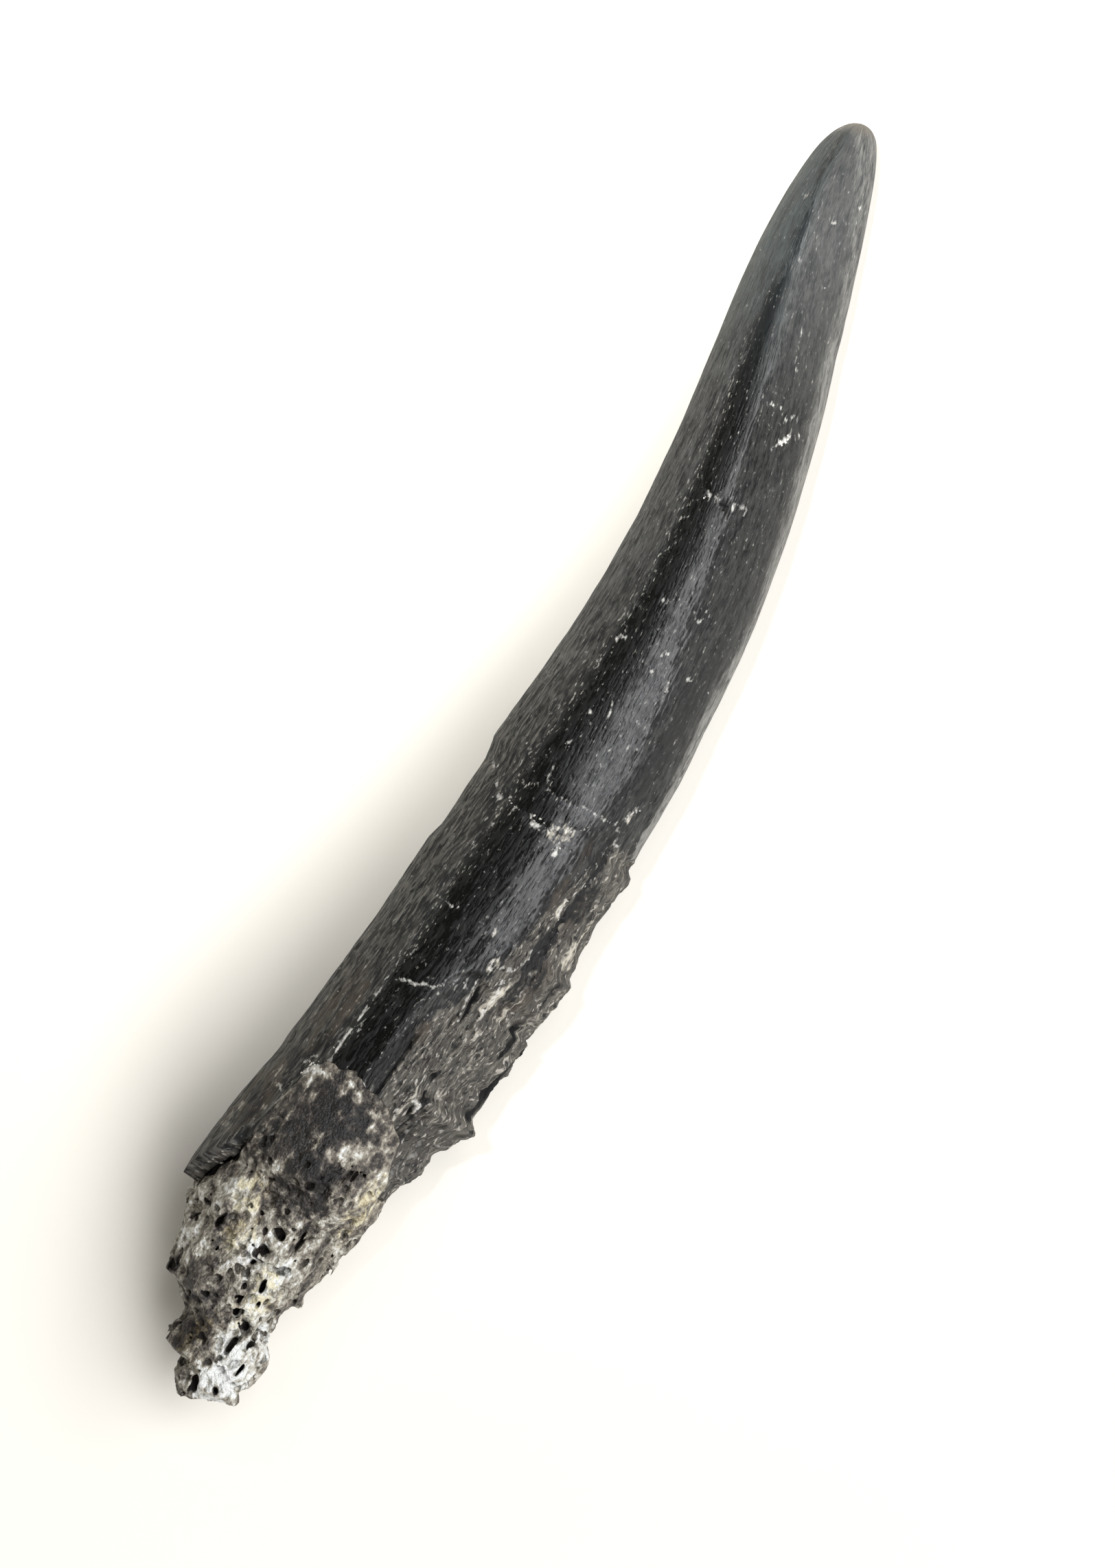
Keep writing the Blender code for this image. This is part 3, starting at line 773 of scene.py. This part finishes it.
def tooth_piece():
    """The black tooth, with fibres, spalled root, broken rim and hollow."""
    turn = np.arange(AROUND) * math.tau / AROUND
    angle = turn + TOP_FINER * np.cos(turn)
    s = tooth_rows(angle)
    angles = np.broadcast_to(angle, s.shape)
    relief, masks = worn_surface(s, angles)
    outer = tooth_points(s, angles, relief)
    depths = np.linspace(0, 1, HOLLOW_ROWS + 1)[:-1, None]
    mouth = rim(angle)
    inner_s = mouth + (HOLLOW_END - mouth) * depths
    inner_angle = np.broadcast_to(angle, inner_s.shape)
    inner_relief = tooth_relief(inner_s, inner_angle)
    inner = tooth_points(inner_s, inner_angle, inner_relief, WALL, 1 - depths**2.5)
    rows = np.concatenate([outer, inner])
    tip = tooth_points(np.full(AROUND, TIP), angle, 0.0).mean(axis=0)
    bottom = placed(np.array(HOLLOW_END), 0, 0)
    along = np.repeat(np.linspace(0.004, 0.996, len(rows))[:, None], AROUND, axis=1)
    mesh = grid_mesh("black_tooth", rows, tip, bottom, np.linspace(0, 1, AROUND + 1), along)
    inner_skin = section_points(inner_s - WALL, inner_angle)
    all_skin = np.concatenate([section_points(s, angles), inner_skin]).reshape(-1, 3)
    per_point(mesh, "skin", np.concatenate([[[TIP, 0, 0]], all_skin, [[HOLLOW_END, 0, 0]]]))
    for name, mask in masks.items():
        inside = np.full(inner_s.size + 1, float(name == "bare"))
        per_point(mesh, name, np.concatenate([[0], mask.ravel(), inside]))
    mesh.materials.append(fossil_dentine())
    return shown_piece(mesh, "tooth", "tooth")


def bone_outline(s, angle):
    """How far the bone's lumps and knobs stand out, for a table of s and angle."""
    station, width, offset, _ = np.transpose(BONE_STATIONS)
    points = section_points(s, angle)
    out = LUMP * perlin(points + 7.3, (LUMP_SIZE, LUMP_SIZE))
    wide = np.interp(s, station, width)
    for at, degrees, spread, height in BONE_KNOBS:
        away = np.hypot(s - at, np.radians(turned(angle, degrees)) * wide)
        out = out + height * (1 - smooth(away, 0, spread))
    swollen = smooth(s, BONE_SHIFTED_TO, BONE_SWOLLEN_FROM)
    aside = np.interp(s, station, offset)
    out = out + swollen * (aside * np.cos(angle) - BONE_DROP * np.sin(angle))
    return out + 0.13 * lattice_noise(points, (0.7, 0.6), 11) + 0.07 * lattice_noise(points, (0.3, 0.3), 12)


def looked_up(table, row, column):
    """Values of a table at fractional rows and wrapping fractional columns."""
    low = np.clip(np.floor(row).astype(int), 0, len(table) - 2)
    part = np.clip(row - low, 0, 1)
    left = np.floor(column).astype(int)
    share = column - left
    left, right = left % table.shape[1], (left + 1) % table.shape[1]
    upper = table[low, left] * (1 - share) + table[low, right] * share
    lower = table[low + 1, left] * (1 - share) + table[low + 1, right] * share
    return upper * (1 - part) + lower * part


def bone_cells(points):
    """Distance into the cell from the wall between two cells, and the depth to which that cell is open."""
    random = np.random.default_rng(41)
    base = np.floor(points / CELL_SPACING).astype(int)
    low = base.min(axis=0) - 1
    shape = base.max(axis=0) + 2 - low
    seeds = random.uniform(0.08, 0.92, (*shape, 3))
    opened = random.uniform(-0.05, 0.5, shape)
    opened[random.random(shape) < 0.35] = 0.8
    first = np.full(len(points), FAR)
    second = np.full(len(points), FAR)
    depth = np.zeros(len(points))
    for step in np.ndindex(3, 3, 3):
        cell = base + np.array(step) - 1
        index = tuple((cell - low).T)
        away = np.linalg.norm(points - (cell + seeds[index]) * CELL_SPACING, axis=1)
        nearer = away < first
        second = np.where(nearer, first, np.minimum(second, away))
        depth = np.where(nearer, opened[index], depth)
        first = np.minimum(first, away)
    return (second - first) / 2, depth


def bone_solid(s, side, height):
    """Distance to the bone's surface, below 0 inside: its lumpy outline, its nose and the crust."""
    station, width, offset, depth = np.transpose(BONE_STATIONS)
    low, high = BONE_BOX[0][0], BONE_BOX[1][0]
    swollen = smooth(s, BONE_SHIFTED_TO, BONE_SWOLLEN_FROM)
    shift = (1 - swollen) * np.interp(s, station, offset)
    wide, deep = np.interp(s, station, width), np.interp(s, station, depth)
    across = (side - shift) / wide
    up = (height + (1 - swollen) * BONE_DROP) / deep
    angle = np.arctan2(up, across)
    table_s = np.linspace(low, high, OUTLINE_ROWS)[:, None]
    table_angle = np.arange(OUTLINE_COLUMNS) * math.tau / OUTLINE_COLUMNS
    column = (angle % math.tau) / math.tau * OUTLINE_COLUMNS
    row = (s - low) / (high - low) * (OUTLINE_ROWS - 1)
    out = looked_up(bone_outline(table_s, table_angle[None, :]), row, column)
    outline = (np.hypot(across, up) - 1) * np.minimum(wide, deep) - out
    collar = smooth(s, COLLAR_START, COLLAR_FULL) * (1 - smooth(-np.cos(angle), 0.3, 0.8))
    outline = outline - BONE_COLLAR * collar
    ends = np.maximum(BONE_STATIONS[0][0] - s, s - BONE_END)
    radius = np.hypot(side, height / DEPTH_TO_WIDTH)
    rim_table = rim(table_angle)[None, :].repeat(2, axis=0)
    wall_end = looked_up(rim_table, np.zeros_like(column), column)
    inside_wall = radius - (HALF_WIDTH - WALL - BONE_PLAY)
    solid = np.maximum(np.maximum(outline, ends), np.where(s > wall_end - GAP, inside_wall, -FAR))
    wall_out = looked_up(0.5 * tooth_relief(table_s, table_angle[None, :]), row, column)
    low_start = 1 - smooth(s, CRUST_START, CRUST_FULL)
    crust = radius - HALF_WIDTH - CRUST - wall_out + low_start
    crust = np.maximum(crust, s + CRUST_RAGGED * out - at_stations(-side, CRUST_ENDS))
    crust = np.maximum(np.maximum(crust, CRUST_LOWEST - height), CRUST_START - s)
    return np.minimum(solid, crust + 0.25 * out)


def large_cells(s, side, bend, frayed, solid):
    """Distance into the large cells that are seen from above."""
    bent = np.stack([s, side]) + 0.8 * bend.T
    into = np.full(len(s), -FAR)
    for at, t, long, wide in LARGE_CELLS:
        away = np.hypot((bent[0] - at) / long, (bent[1] + t) / wide) + frayed
        into = np.maximum(into, np.minimum((1 - away) * wide, LARGE_CELL_DEPTH + solid))
    return into


def bone_fields(place, solid, strut):
    """What the bone's material reads at its points."""
    ragged = 0.45 * lattice_noise(place, (0.5, 0.4), 31) + 0.35 * lattice_noise(place, (0.2, 0.18), 32)
    s = place[:, 0]
    t = np.where(place[:, 2] > -0.5, -place[:, 1], UNSEEN)
    darker = 0.1 * smooth(s + ragged, 7.0, 8.4)
    return {
        # depth: how far a point lies below the outer surface; the material darkens the open cells with it, as
        # painted shade
        "depth": np.clip(-solid, 0, 1),
        "strut": strut,
        "skin": place,
        "tone": tone(s, t, BONE_TONES, ragged) - darker,
        "ochre": np.max([blob(s, t, spot, ragged) for spot in OCHRE], axis=0),
    }


def bone_piece():
    """The spongy bone: a lumpy solid with open cells, made as a distance field and then meshed."""
    low, high = np.array(BONE_BOX)
    count = np.ceil((high - low) / VOXEL).astype(int)
    axes = [low[i] + VOXEL * np.arange(count[i]) for i in range(3)]
    s, side, height = np.meshgrid(*axes, indexing="ij")
    solid = bone_solid(s, side, height)
    near = (solid > -CELLS_TO) & (solid < 3 * VOXEL)
    points = np.stack([s[near], side[near], height[near]], axis=-1)
    solid[near] += CRUMB * lattice_noise(points, (0.22, 0.22), 33)
    bend = 0.2 * np.stack([lattice_noise(points, (0.9, 0.9), 20 + k) for k in range(3)], axis=-1)
    bend += 0.07 * np.stack([lattice_noise(points, (0.3, 0.3), 24 + k) for k in range(3)], axis=-1)
    into, opened = bone_cells(points + bend)
    into = into - (STRUT + 0.05 * lattice_noise(points, (0.5, 0.5), 30))
    opened = opened - 0.25 * smooth(points[:, 0], 5.5, 8.5) - 2.0 * (points[:, 0] > HIDDEN_FROM)
    solid[near] += SUNK * smooth(into, 0.0, 0.12) * (points[:, 0] < HIDDEN_FROM)
    hollow = np.full(solid.shape, -FAR)
    hollow[near] = np.minimum(into, opened + solid[near])
    upper, top = near & (height > 0), height[near] > 0
    frayed = 0.4 * lattice_noise(points[top], (0.24, 0.2), 35)
    large = large_cells(s[upper], side[upper], bend[top, :2], frayed, solid[upper])
    hollow[upper] = np.maximum(hollow[upper], large)
    field = np.maximum(solid, hollow)
    field[solid < -0.9] = -1.0
    grid = openvdb.FloatGrid(3.0)
    grid.copyFromArray(np.clip(field / VOXEL, -3, 3).astype(np.float32))
    corners, _, quads = grid.convertToPolygons(0.0, 0.0)
    place = low + corners * VOXEL
    mesh = bpy.data.meshes.new("spongy_bone")
    shown = placed(place[:, 0], place[:, 1], place[:, 2])
    mesh.from_pydata((shown * MM).tolist(), [], quads[:, ::-1].tolist())
    index = tuple(np.clip(np.rint(corners).astype(int), 0, count - 1).T)
    strut = np.zeros(solid.shape)
    strut[near] = 1 - smooth(into, 0.0, 0.1)
    for name, values in bone_fields(place, solid[index], strut[index]).items():
        per_point(mesh, name, values)
    mesh.materials.append(spongy_bone())
    return shown_piece(mesh, "root_bone", "root_bone")


def crumbs_along(random, lines):
    """Places (s, angle, size, paleness) of the crumbs that lie along lines."""
    places = []
    for line, width, pale in lines:
        if width < THINNEST_WHITE:
            continue
        line = np.array(line)
        length = np.linalg.norm(np.diff(line, axis=0), axis=1)
        for _ in range(int(CRUMBS_PER_MM * pale * (length.sum() + 2 * width) * (0.6 + 4 * width))):
            leg = random.choice(len(length), p=length / length.sum())
            stray = random.normal(0, CRUMB_STRAY * width, 2)
            s, t = line[leg] + random.random() * (line[leg + 1] - line[leg]) + stray
            size = CRUMB_SIZE * (0.03 + width) * random.uniform(0.3, 1.0)
            places.append((s, angle_of(s, t), size, pale * random.uniform(0.4, 1.1)))
    return places


def crumbs_piece(name, places, random):
    """Small flat grains, wedged in the cracks and stuck to the tooth."""
    pebble = bmesh.new()
    bmesh.ops.create_icosphere(pebble, subdivisions=1, radius=1.0)
    corners = np.array([v.co for v in pebble.verts])
    faces = np.array([[v.index for v in f.verts] for f in pebble.faces])
    pebble.free()
    s, angle, size, pale = np.array(places).T
    shapes = corners * random.uniform(0.5, 1.3, (len(s), len(corners), 1)) * size[:, None, None]
    along = s[:, None] + shapes[..., 0]
    around = angle[:, None] + shapes[..., 1] / half_width(s)[:, None]
    relief, _ = worn_surface(along, around)
    points = tooth_points(along, around, relief + FLATNESS * shapes[..., 2]).reshape(-1, 3)
    all_faces = (faces[None] + len(corners) * np.arange(len(s))[:, None, None]).reshape(-1, 3)
    mesh = bpy.data.meshes.new(name)
    mesh.from_pydata((points * MM).tolist(), [], all_faces.tolist())
    per_point(mesh, "pale", np.repeat(np.clip(pale, 0, 1), len(corners)))
    mesh.materials.append(mineral(name))
    return shown_piece(mesh, "tooth")


def white_crumbs():
    """White calcite crumbs along the cracks, and a few all over the tooth."""
    random = np.random.default_rng(5)
    places = crumbs_along(random, CALCITE_LINES)
    for _ in range(SCATTERED_CRUMBS):
        s = 13 + 34 * random.random() ** 1.5
        turn = random.uniform(0, math.tau)
        places.append((s, turn, random.uniform(*SCATTERED_SIZE), random.uniform(*SCATTERED_PALENESS)))
    return crumbs_piece("calcite_crumbs", places, random)


def dark_crumbs():
    """Dark grains of matrix on the broken edge of the root and in its spalled patch."""
    random = np.random.default_rng(6)
    places = crumbs_along(random, MATRIX_LINES)
    places = [(s, angle, 1.6 * size, 0.25 * pale) for s, angle, size, pale in places]
    return crumbs_piece("matrix_grains", places, random)


def linear(colour):
    """A linear RGBA colour from an sRGB hex value."""
    channels = [int(colour[i : i + 2], 16) / 255 for i in (1, 3, 5)]
    return (*[c / 12.92 if c <= 0.04045 else ((c + 0.055) / 1.055) ** 2.4 for c in channels], 1.0)


def add(tree, kind, inputs=(), **settings):
    """Adds a node: its settings, and its inputs as values or as the outputs that lead into them."""
    made = tree.nodes.new(kind)
    for name, value in settings.items():
        setattr(made, name, value)
    for name, value in dict(inputs).items():
        if isinstance(value, bpy.types.NodeSocket):
            tree.links.new(value, made.inputs[name])
        else:
            made.inputs[name].default_value = value
    return made


def mixed(tree, share, low, high):
    """The colour that goes from low to high, each an output or a hex value, as share goes from 0 to 1."""
    low, high = (linear(colour) if isinstance(colour, str) else colour for colour in (low, high))
    return add(tree, "ShaderNodeMix", {0: share, 6: low, 7: high}, data_type="RGBA").outputs[2]


def layered(tree, colour, *layers):
    """A colour with others laid over it, each given with its share."""
    for share, over in layers:
        colour = mixed(tree, share, colour, over)
    return colour


def ranged(tree, value, start, end, low=0.0, high=1.0):
    """A value taken from the range start to end into the range low to high, and held there."""
    limits = {"Value": value, "From Min": start, "From Max": end, "To Min": low, "To Max": high}
    return add(tree, "ShaderNodeMapRange", limits).outputs["Result"]


def times(tree, product, *others):
    """The product of two or more values."""
    for other in others:
        product = add(tree, "ShaderNodeMath", {0: product, 1: other}, operation="MULTIPLY").outputs[0]
    return product


def total(tree, *parts):
    """The sum of values times their weights."""
    result = 0.0
    for value, weight in parts:
        result = add(
            tree, "ShaderNodeMath", {0: value, 1: weight, 2: result}, operation="MULTIPLY_ADD"
        ).outputs[0]
    return result


def absolute(tree, value):
    """A value without its sign."""
    return add(tree, "ShaderNodeMath", {0: value}, operation="ABSOLUTE").outputs[0]


def grain(tree, place, along, across, detail=4.0, roughness=0.6):
    """Noise from 0 to 1, stretched along the tooth, with bumps of the given size in mm."""
    stretched = add(
        tree, "ShaderNodeMapping", {"Vector": place, "Scale": (1 / along, 1 / across, 1 / across)}
    )
    settings = {"Vector": stretched.outputs["Vector"], "Scale": 1.0, "Detail": detail, "Roughness": roughness}
    return add(tree, "ShaderNodeTexNoise", settings).outputs["Fac"]


def new_material(name):
    """A material, its node tree and its shader."""
    material = bpy.data.materials.new(name)
    material.use_nodes = True
    return material, material.node_tree, material.node_tree.nodes["Principled BSDF"]


def attribute(tree, name, output="Fac"):
    """A field that is stored in the mesh."""
    return add(tree, "ShaderNodeAttribute", attribute_name=name).outputs[output]


def tooth_fields(tree):
    """The fields and noises that the tooth's colour, roughness and bump are made of."""
    names = ("band", "bare", "edge", "brown", "tone", "calcite", "slot")
    look = SimpleNamespace(**{name: attribute(tree, name) for name in names})
    skin = attribute(tree, "skin", "Vector")
    place = add(tree, "ShaderNodeSeparateXYZ", {"Vector": skin})
    look.along, look.aside = place.outputs["X"], place.outputs["Y"]
    look.concave = ranged(tree, look.aside, -0.6, 1.0)
    look.dashes = grain(tree, skin, 0.6, 0.11, 3.0, 0.55)
    look.flecks = grain(tree, skin, 0.26, 0.1, 2.0, 0.5)
    look.strands = grain(tree, skin, 2.4, 0.22)
    look.patches = grain(tree, skin, 0.8, 0.45, 2.0, 0.5)
    look.lumps = grain(tree, skin, 0.22, 0.16)
    look.tip = ranged(tree, look.along, 41, 47.5)
    rough_edge = total(tree, (look.band, 1.0), (look.dashes, 1.3), (look.flecks, 0.7))
    look.matte = ranged(tree, rough_edge, 1.07, 0.93)
    look.shiny = ranged(tree, rough_edge, 0.93, 1.07)
    torn_edge = total(tree, (look.bare, 1.0), (look.dashes, 0.8), (look.lumps, 0.8))
    look.torn = ranged(tree, torn_edge, 0.74, 0.86)
    smeared = total(tree, (look.calcite, 1.0), (look.lumps, 2.0), (look.flecks, 0.6))
    look.white = ranged(tree, smeared, 1.58, 2.25)
    look.seam = times(tree, look.shiny, look.tip, ranged(tree, look.along, 51.2, 49.5))
    look.worn = total(
        tree, (look.dashes, 0.6), (look.flecks, 0.4), (look.patches, 0.4), (look.edge, 0.06)
    )
    return look


def dusty_flank_and_edge_reflection(tree, look):
    """Share and colour of the pale dust beside the band: it lies in dashes, is darker right beside the band
    and a little thicker at the edge, where its colour is a painted reflection.
    """
    along = look.along
    beside = ranged(tree, look.band, -0.95, -0.45)
    flank = mixed(tree, ranged(tree, along, 24, 34), "#474641", "#4a4a48")
    flank = mixed(tree, times(tree, beside, ranged(tree, along, 40, 24, 0.3, 1)), flank, "#31302c")
    dust = mixed(tree, look.concave, "#2c2c2a", flank)
    crisp, even = ranged(tree, look.worn, 0.67, 0.75), ranged(tree, look.worn, 0.56, 0.84)
    share = mixed(tree, ranged(tree, along, 25, 34), crisp, even)
    # Along the convex outline the colour is a pale painted reflection
    return times(tree, look.matte, share), mixed(tree, look.edge, dust, "#767570")


def grey_tip(tree, look):
    """The worn grey of the tip, mottled, and palest at the edge, where the paleness is a painted reflection.
    """
    mottled = ranged(tree, total(tree, (look.flecks, 0.5), (look.patches, 0.5)), 0.38, 0.62)
    grey = mixed(tree, look.concave, "#484846", "#3d4444")
    grey = mixed(tree, look.edge, grey, "#6a6965")
    return mixed(tree, mottled, "#2a2c2c", grey)


def worn_black(tree, look):
    """Black enamel and dentine: with streaks where it shines, partly dust and partly a painted highlight,
    dusty, ribbed, pitted and flecked beside, and a painted highlight beside the tip's crease.
    """
    along, aside, worn = look.along, look.aside, look.worn
    matte, concave, tip = look.matte, look.concave, look.tip
    # Pale streaks only in the shining, convex half of the band: partly dust, partly a painted highlight
    dust_and_highlight_streaks = times(tree, look.shiny, ranged(tree, aside, 0.4, -0.1), ranged(tree, worn, 0.66, 0.76))
    ribs = ranged(tree, look.dashes, 0.56, 0.66)
    ribbed = times(tree, matte, concave, ribs, ranged(tree, along, 25, 34, 0.8, 0.1))
    pits = ranged(tree, worn, 0.66, 0.60)
    pitted = times(tree, matte, pits, ranged(tree, look.edge, 0, 1, 1.0, 0.3))
    border = ranged(tree, absolute(tree, look.band), 0.45, 0.0)
    bright = total(tree, (look.flecks, 1.0), (times(tree, border, concave), 0.12))
    flecked = times(tree, ranged(tree, bright, 0.70, 0.77), ranged(tree, tip, 0, 1, 0.8, 0.2))
    # A painted highlight: a pale grey strip beside the crease of the tip, where its ridge would catch the
    # light
    highlight_strip = ranged(tree, aside, -0.9, 0.1), ranged(tree, aside, 0.8, 0.5)
    ridge = times(tree, *highlight_strip, tip, ranged(tree, along, 50.2, 48.0))
    return layered(
        tree,
        mixed(tree, dust_and_highlight_streaks, "#0d0d0c", "#3a3a39"),
        dusty_flank_and_edge_reflection(tree, look),
        (ribbed, "#65625b"),
        (pitted, "#060606"),
        (flecked, "#8b8981"),
        (times(tree, tip, matte), grey_tip(tree, look)),
        (times(tree, ridge, ranged(tree, worn, 0.6, 0.75, 0.15, 0.8)), "#5f6261"),
        (look.seam, "#1b1f20"),
        (ranged(tree, along, 51.9, 52.6), "#5f574d"),
    )


def torn_wall(tree, look):
    """The bare inside of the root's wall: grey-brown splinters with dark pores and pale flecks."""
    return layered(
        tree,
        mixed(tree, ranged(tree, look.dashes, 0.36, 0.64), "#1f1d1a", "#6a665d"),
        (ranged(tree, look.strands, 0.42, 0.62), "#3a3732"),
        (ranged(tree, look.lumps, 0.44, 0.36), "#12110f"),
        (ranged(tree, look.flecks, 0.60, 0.70), "#99948a"),
    )


def fossil_dentine():
    """Black mineralised dentine and enamel, polished by handling, with the fibres of its growth.

    A polished band along the top shines. Beside it the skin is rough, with pits and dust in short dashes
    along the tooth, which are really as fine as 0.05 mm and are drawn at 0.1 mm so that they show.
    """
    material, tree, shader = new_material("fossil_dentine")
    look = tooth_fields(tree)
    brown = times(tree, look.brown, ranged(tree, look.strands, 0.36, 0.56), look.matte)
    toned = total(tree, (look.tone, 1.0), (look.lumps, 1.4), (look.dashes, 0.8))
    colour = layered(
        tree,
        worn_black(tree, look),
        (look.torn, torn_wall(tree, look)),
        (brown, "#3a332a"),
        (ranged(tree, toned, 0.95, 0.55), "#0f0e0d"),
        (ranged(tree, toned, 1.40, 1.85), "#b0aa9c"),
        (look.white, "#bfbdb6"),
        # Painted shade: near-black in the slots' cracks
        (look.slot, "#050505"),
    )
    tree.links.new(colour, shader.inputs["Base Color"])

    rough = ranged(tree, look.strands, 0.35, 0.65, 0.12, 0.24)
    rougher = (
        (ranged(tree, look.dashes, 0.46, 0.56), 0.5),
        (look.matte, 0.6),
        (look.torn, 0.65),
        (look.white, 0.6),
        (look.seam, 0.4),
        (look.slot, 1.0),
    )
    for share, value in rougher:
        rough = add(tree, "ShaderNodeMix", {0: share, 2: rough, 3: value}, data_type="FLOAT").outputs[0]
    tree.links.new(rough, shader.inputs["Roughness"])
    height = total(tree, (look.flecks, 0.5), (look.dashes, 1.0))
    depth = times(tree, ranged(tree, look.matte, 0, 1, 0.3, 1.0), ranged(tree, look.tip, 0, 1, 1.0, 0.5))
    bump = add(tree, "ShaderNodeBump", {"Height": height, "Strength": depth, "Distance": 0.13 * MM})
    tree.links.new(bump.outputs["Normal"], shader.inputs["Normal"])
    shader.inputs["IOR"].default_value = 1.46
    return material


def spongy_bone():
    """Mineralised spongy bone: chalky cream struts round open cells, darkened with depth as painted shade,
    and cells filled with dark dirt.

    Its finest cells, drawn at 0.15 mm, and its crumbs are colour and bump; the cells of 0.4 mm are meshed.
    """
    material, tree, shader = new_material("spongy_bone")
    skin, depth = attribute(tree, "skin", "Vector"), attribute(tree, "depth")
    fine = grain(tree, skin, 0.15, 0.12, 2.0, 0.6)
    middle = grain(tree, skin, 0.45, 0.32, 3.0, 0.6)
    broad = grain(tree, skin, 1.3, 0.9, 3.0, 0.6)
    paleness = total(
        tree,
        (attribute(tree, "tone"), 0.8),
        (fine, 0.9),
        (middle, 1.7),
        (broad, 1.3),
        (attribute(tree, "strut"), 0.16),
    )
    ramp = add(tree, "ShaderNodeValToRGB", {"Fac": ranged(tree, paleness, 1.5, 2.6)})
    elements = ramp.color_ramp.elements
    for at, colour in ((0.25, "#35302b"), (0.45, "#5d574e"), (0.62, "#837d70"), (0.8, "#aba79b")):
        elements.new(at).color = linear(colour)
    elements[0].color, elements[-1].color = linear("#151311"), linear("#d2d3cf")
    ochre = times(tree, attribute(tree, "ochre"), ranged(tree, middle, 0.40, 0.55))
    tint = mixed(tree, ochre, "#ffffff", "#f3e9cb")
    stained = {0: 1.0, 6: ramp.outputs["Color"], 7: tint}
    colour = add(tree, "ShaderNodeMix", stained, data_type="RGBA", blend_type="MULTIPLY").outputs[2]
    # Darker with depth inside the open cells: painted shade
    colour = mixed(tree, ranged(tree, depth, 0.15, 0.45), colour, "#2b2722")
    tree.links.new(colour, shader.inputs["Base Color"])
    bump = add(tree, "ShaderNodeBump", {"Height": fine, "Strength": 1.0, "Distance": 0.15 * MM})
    tree.links.new(bump.outputs["Normal"], shader.inputs["Normal"])
    shader.inputs["Roughness"].default_value = 0.55
    return material


def mineral(name):
    """Broken mineral grains, from dark matrix to white calcite, which scatters all light."""
    material, tree, shader = new_material(name)
    colour = mixed(tree, attribute(tree, "pale"), "#2d2a26", "#d9d6cd")
    tree.links.new(colour, shader.inputs["Base Color"])
    shader.inputs["Roughness"].default_value = 0.7
    return material


def plain_floor():
    """A matt white table top, just below the tooth."""
    material, _, shader = new_material("white_table")
    shader.inputs["Base Color"].default_value = linear("#e0dcd2")
    shader.inputs["Roughness"].default_value = 0.9
    shader.inputs["Specular IOR Level"].default_value = 0.1
    mesh = bpy.data.meshes.new("table_top")
    corners = [(x * TABLE_HALF, y * TABLE_HALF, 0) for x, y in ((-1, -1), (1, -1), (1, 1), (-1, 1))]
    mesh.from_pydata(corners, [], [(0, 1, 2, 3)])
    mesh.materials.append(material)
    floor = in_scene("table_top", mesh)
    floor.location.z = -TABLE_BELOW


def panel(name, corner, opposite, height, radiance, colour, mirrored):
    """A flat light in the ceiling, between two corners (x, y) in m, that faces down."""
    size = [abs(b - a) for a, b in zip(corner, opposite)]
    data = bpy.data.lights.new(name, "AREA")
    data.shape = "RECTANGLE"
    data.size, data.size_y = size
    data.energy = 4 * radiance * size[0] * size[1]
    data.color = linear(colour)[:3]
    light = in_scene(name, data)
    light.location = ((corner[0] + opposite[0]) / 2, (corner[1] + opposite[1]) / 2, height)
    light.visible_glossy = mirrored


def spot(name, target, source, spread, energy):
    """A soft spot on the concave side of the tip, from source to target (m), that casts no reflection."""
    data = bpy.data.lights.new(name, "SPOT")
    data.energy = energy
    data.shadow_soft_size = 0.03
    data.spot_blend = 0.6
    way = Vector(target) - Vector(source)
    data.spot_size = 2 * math.atan(spread / way.length)
    light = in_scene(name, data)
    light.location = source
    light.rotation_euler = way.to_track_quat("-Z", "Y").to_euler()
    light.visible_glossy = False


def studio():
    """Grey walls round the table and a dark ceiling, with panels of light in it and a spot on the tip."""
    world = bpy.data.worlds.new("room")
    bpy.context.scene.world = world
    world.use_nodes = True
    tree = world.node_tree
    back = tree.nodes["Background"]
    direction = add(tree, "ShaderNodeTexCoord").outputs["Generated"]
    towards = add(tree, "ShaderNodeSeparateXYZ", {"Vector": direction})
    walls = mixed(tree, ranged(tree, towards.outputs["Y"], -0.3, 0.3), "#918f8a", "#aeaca4")
    ceiling = ranged(tree, towards.outputs["Z"], 0.36, 0.47)
    tree.links.new(mixed(tree, ceiling, walls, "#141415"), back.inputs["Color"])
    back.inputs["Strength"].default_value = 1.15
    for settings in PANELS:
        panel(*settings)
    spot("tip_fill", (0.045, 0.01, 0.0), (0.06, 0.12, 0.5), 0.047, 23.0)


def camera():
    """Straight above the tooth, turned so that its tip points up and to the right."""
    data = bpy.data.cameras.new("camera")
    data.sensor_width = SENSOR_MM
    half_frame = PIXELS_HIGH / PIXELS_PER_MM / 2
    data.lens = SENSOR_MM / 2 * CAMERA_DISTANCE / half_frame
    data.clip_start, data.clip_end = 0.01, 10
    eye = in_scene("camera", data)
    eye.location = Vector((*CAMERA_OVER, MIDDLE_HEIGHT + CAMERA_DISTANCE)) * MM
    eye.rotation_euler = (0, 0, CAMERA_TURN - math.pi / 2)
    bpy.context.scene.camera = eye
    bpy.context.scene.view_settings.view_transform = "Standard"


tooth_piece()
bone_piece()
white_crumbs()
dark_crumbs()
plain_floor()
studio()
camera()
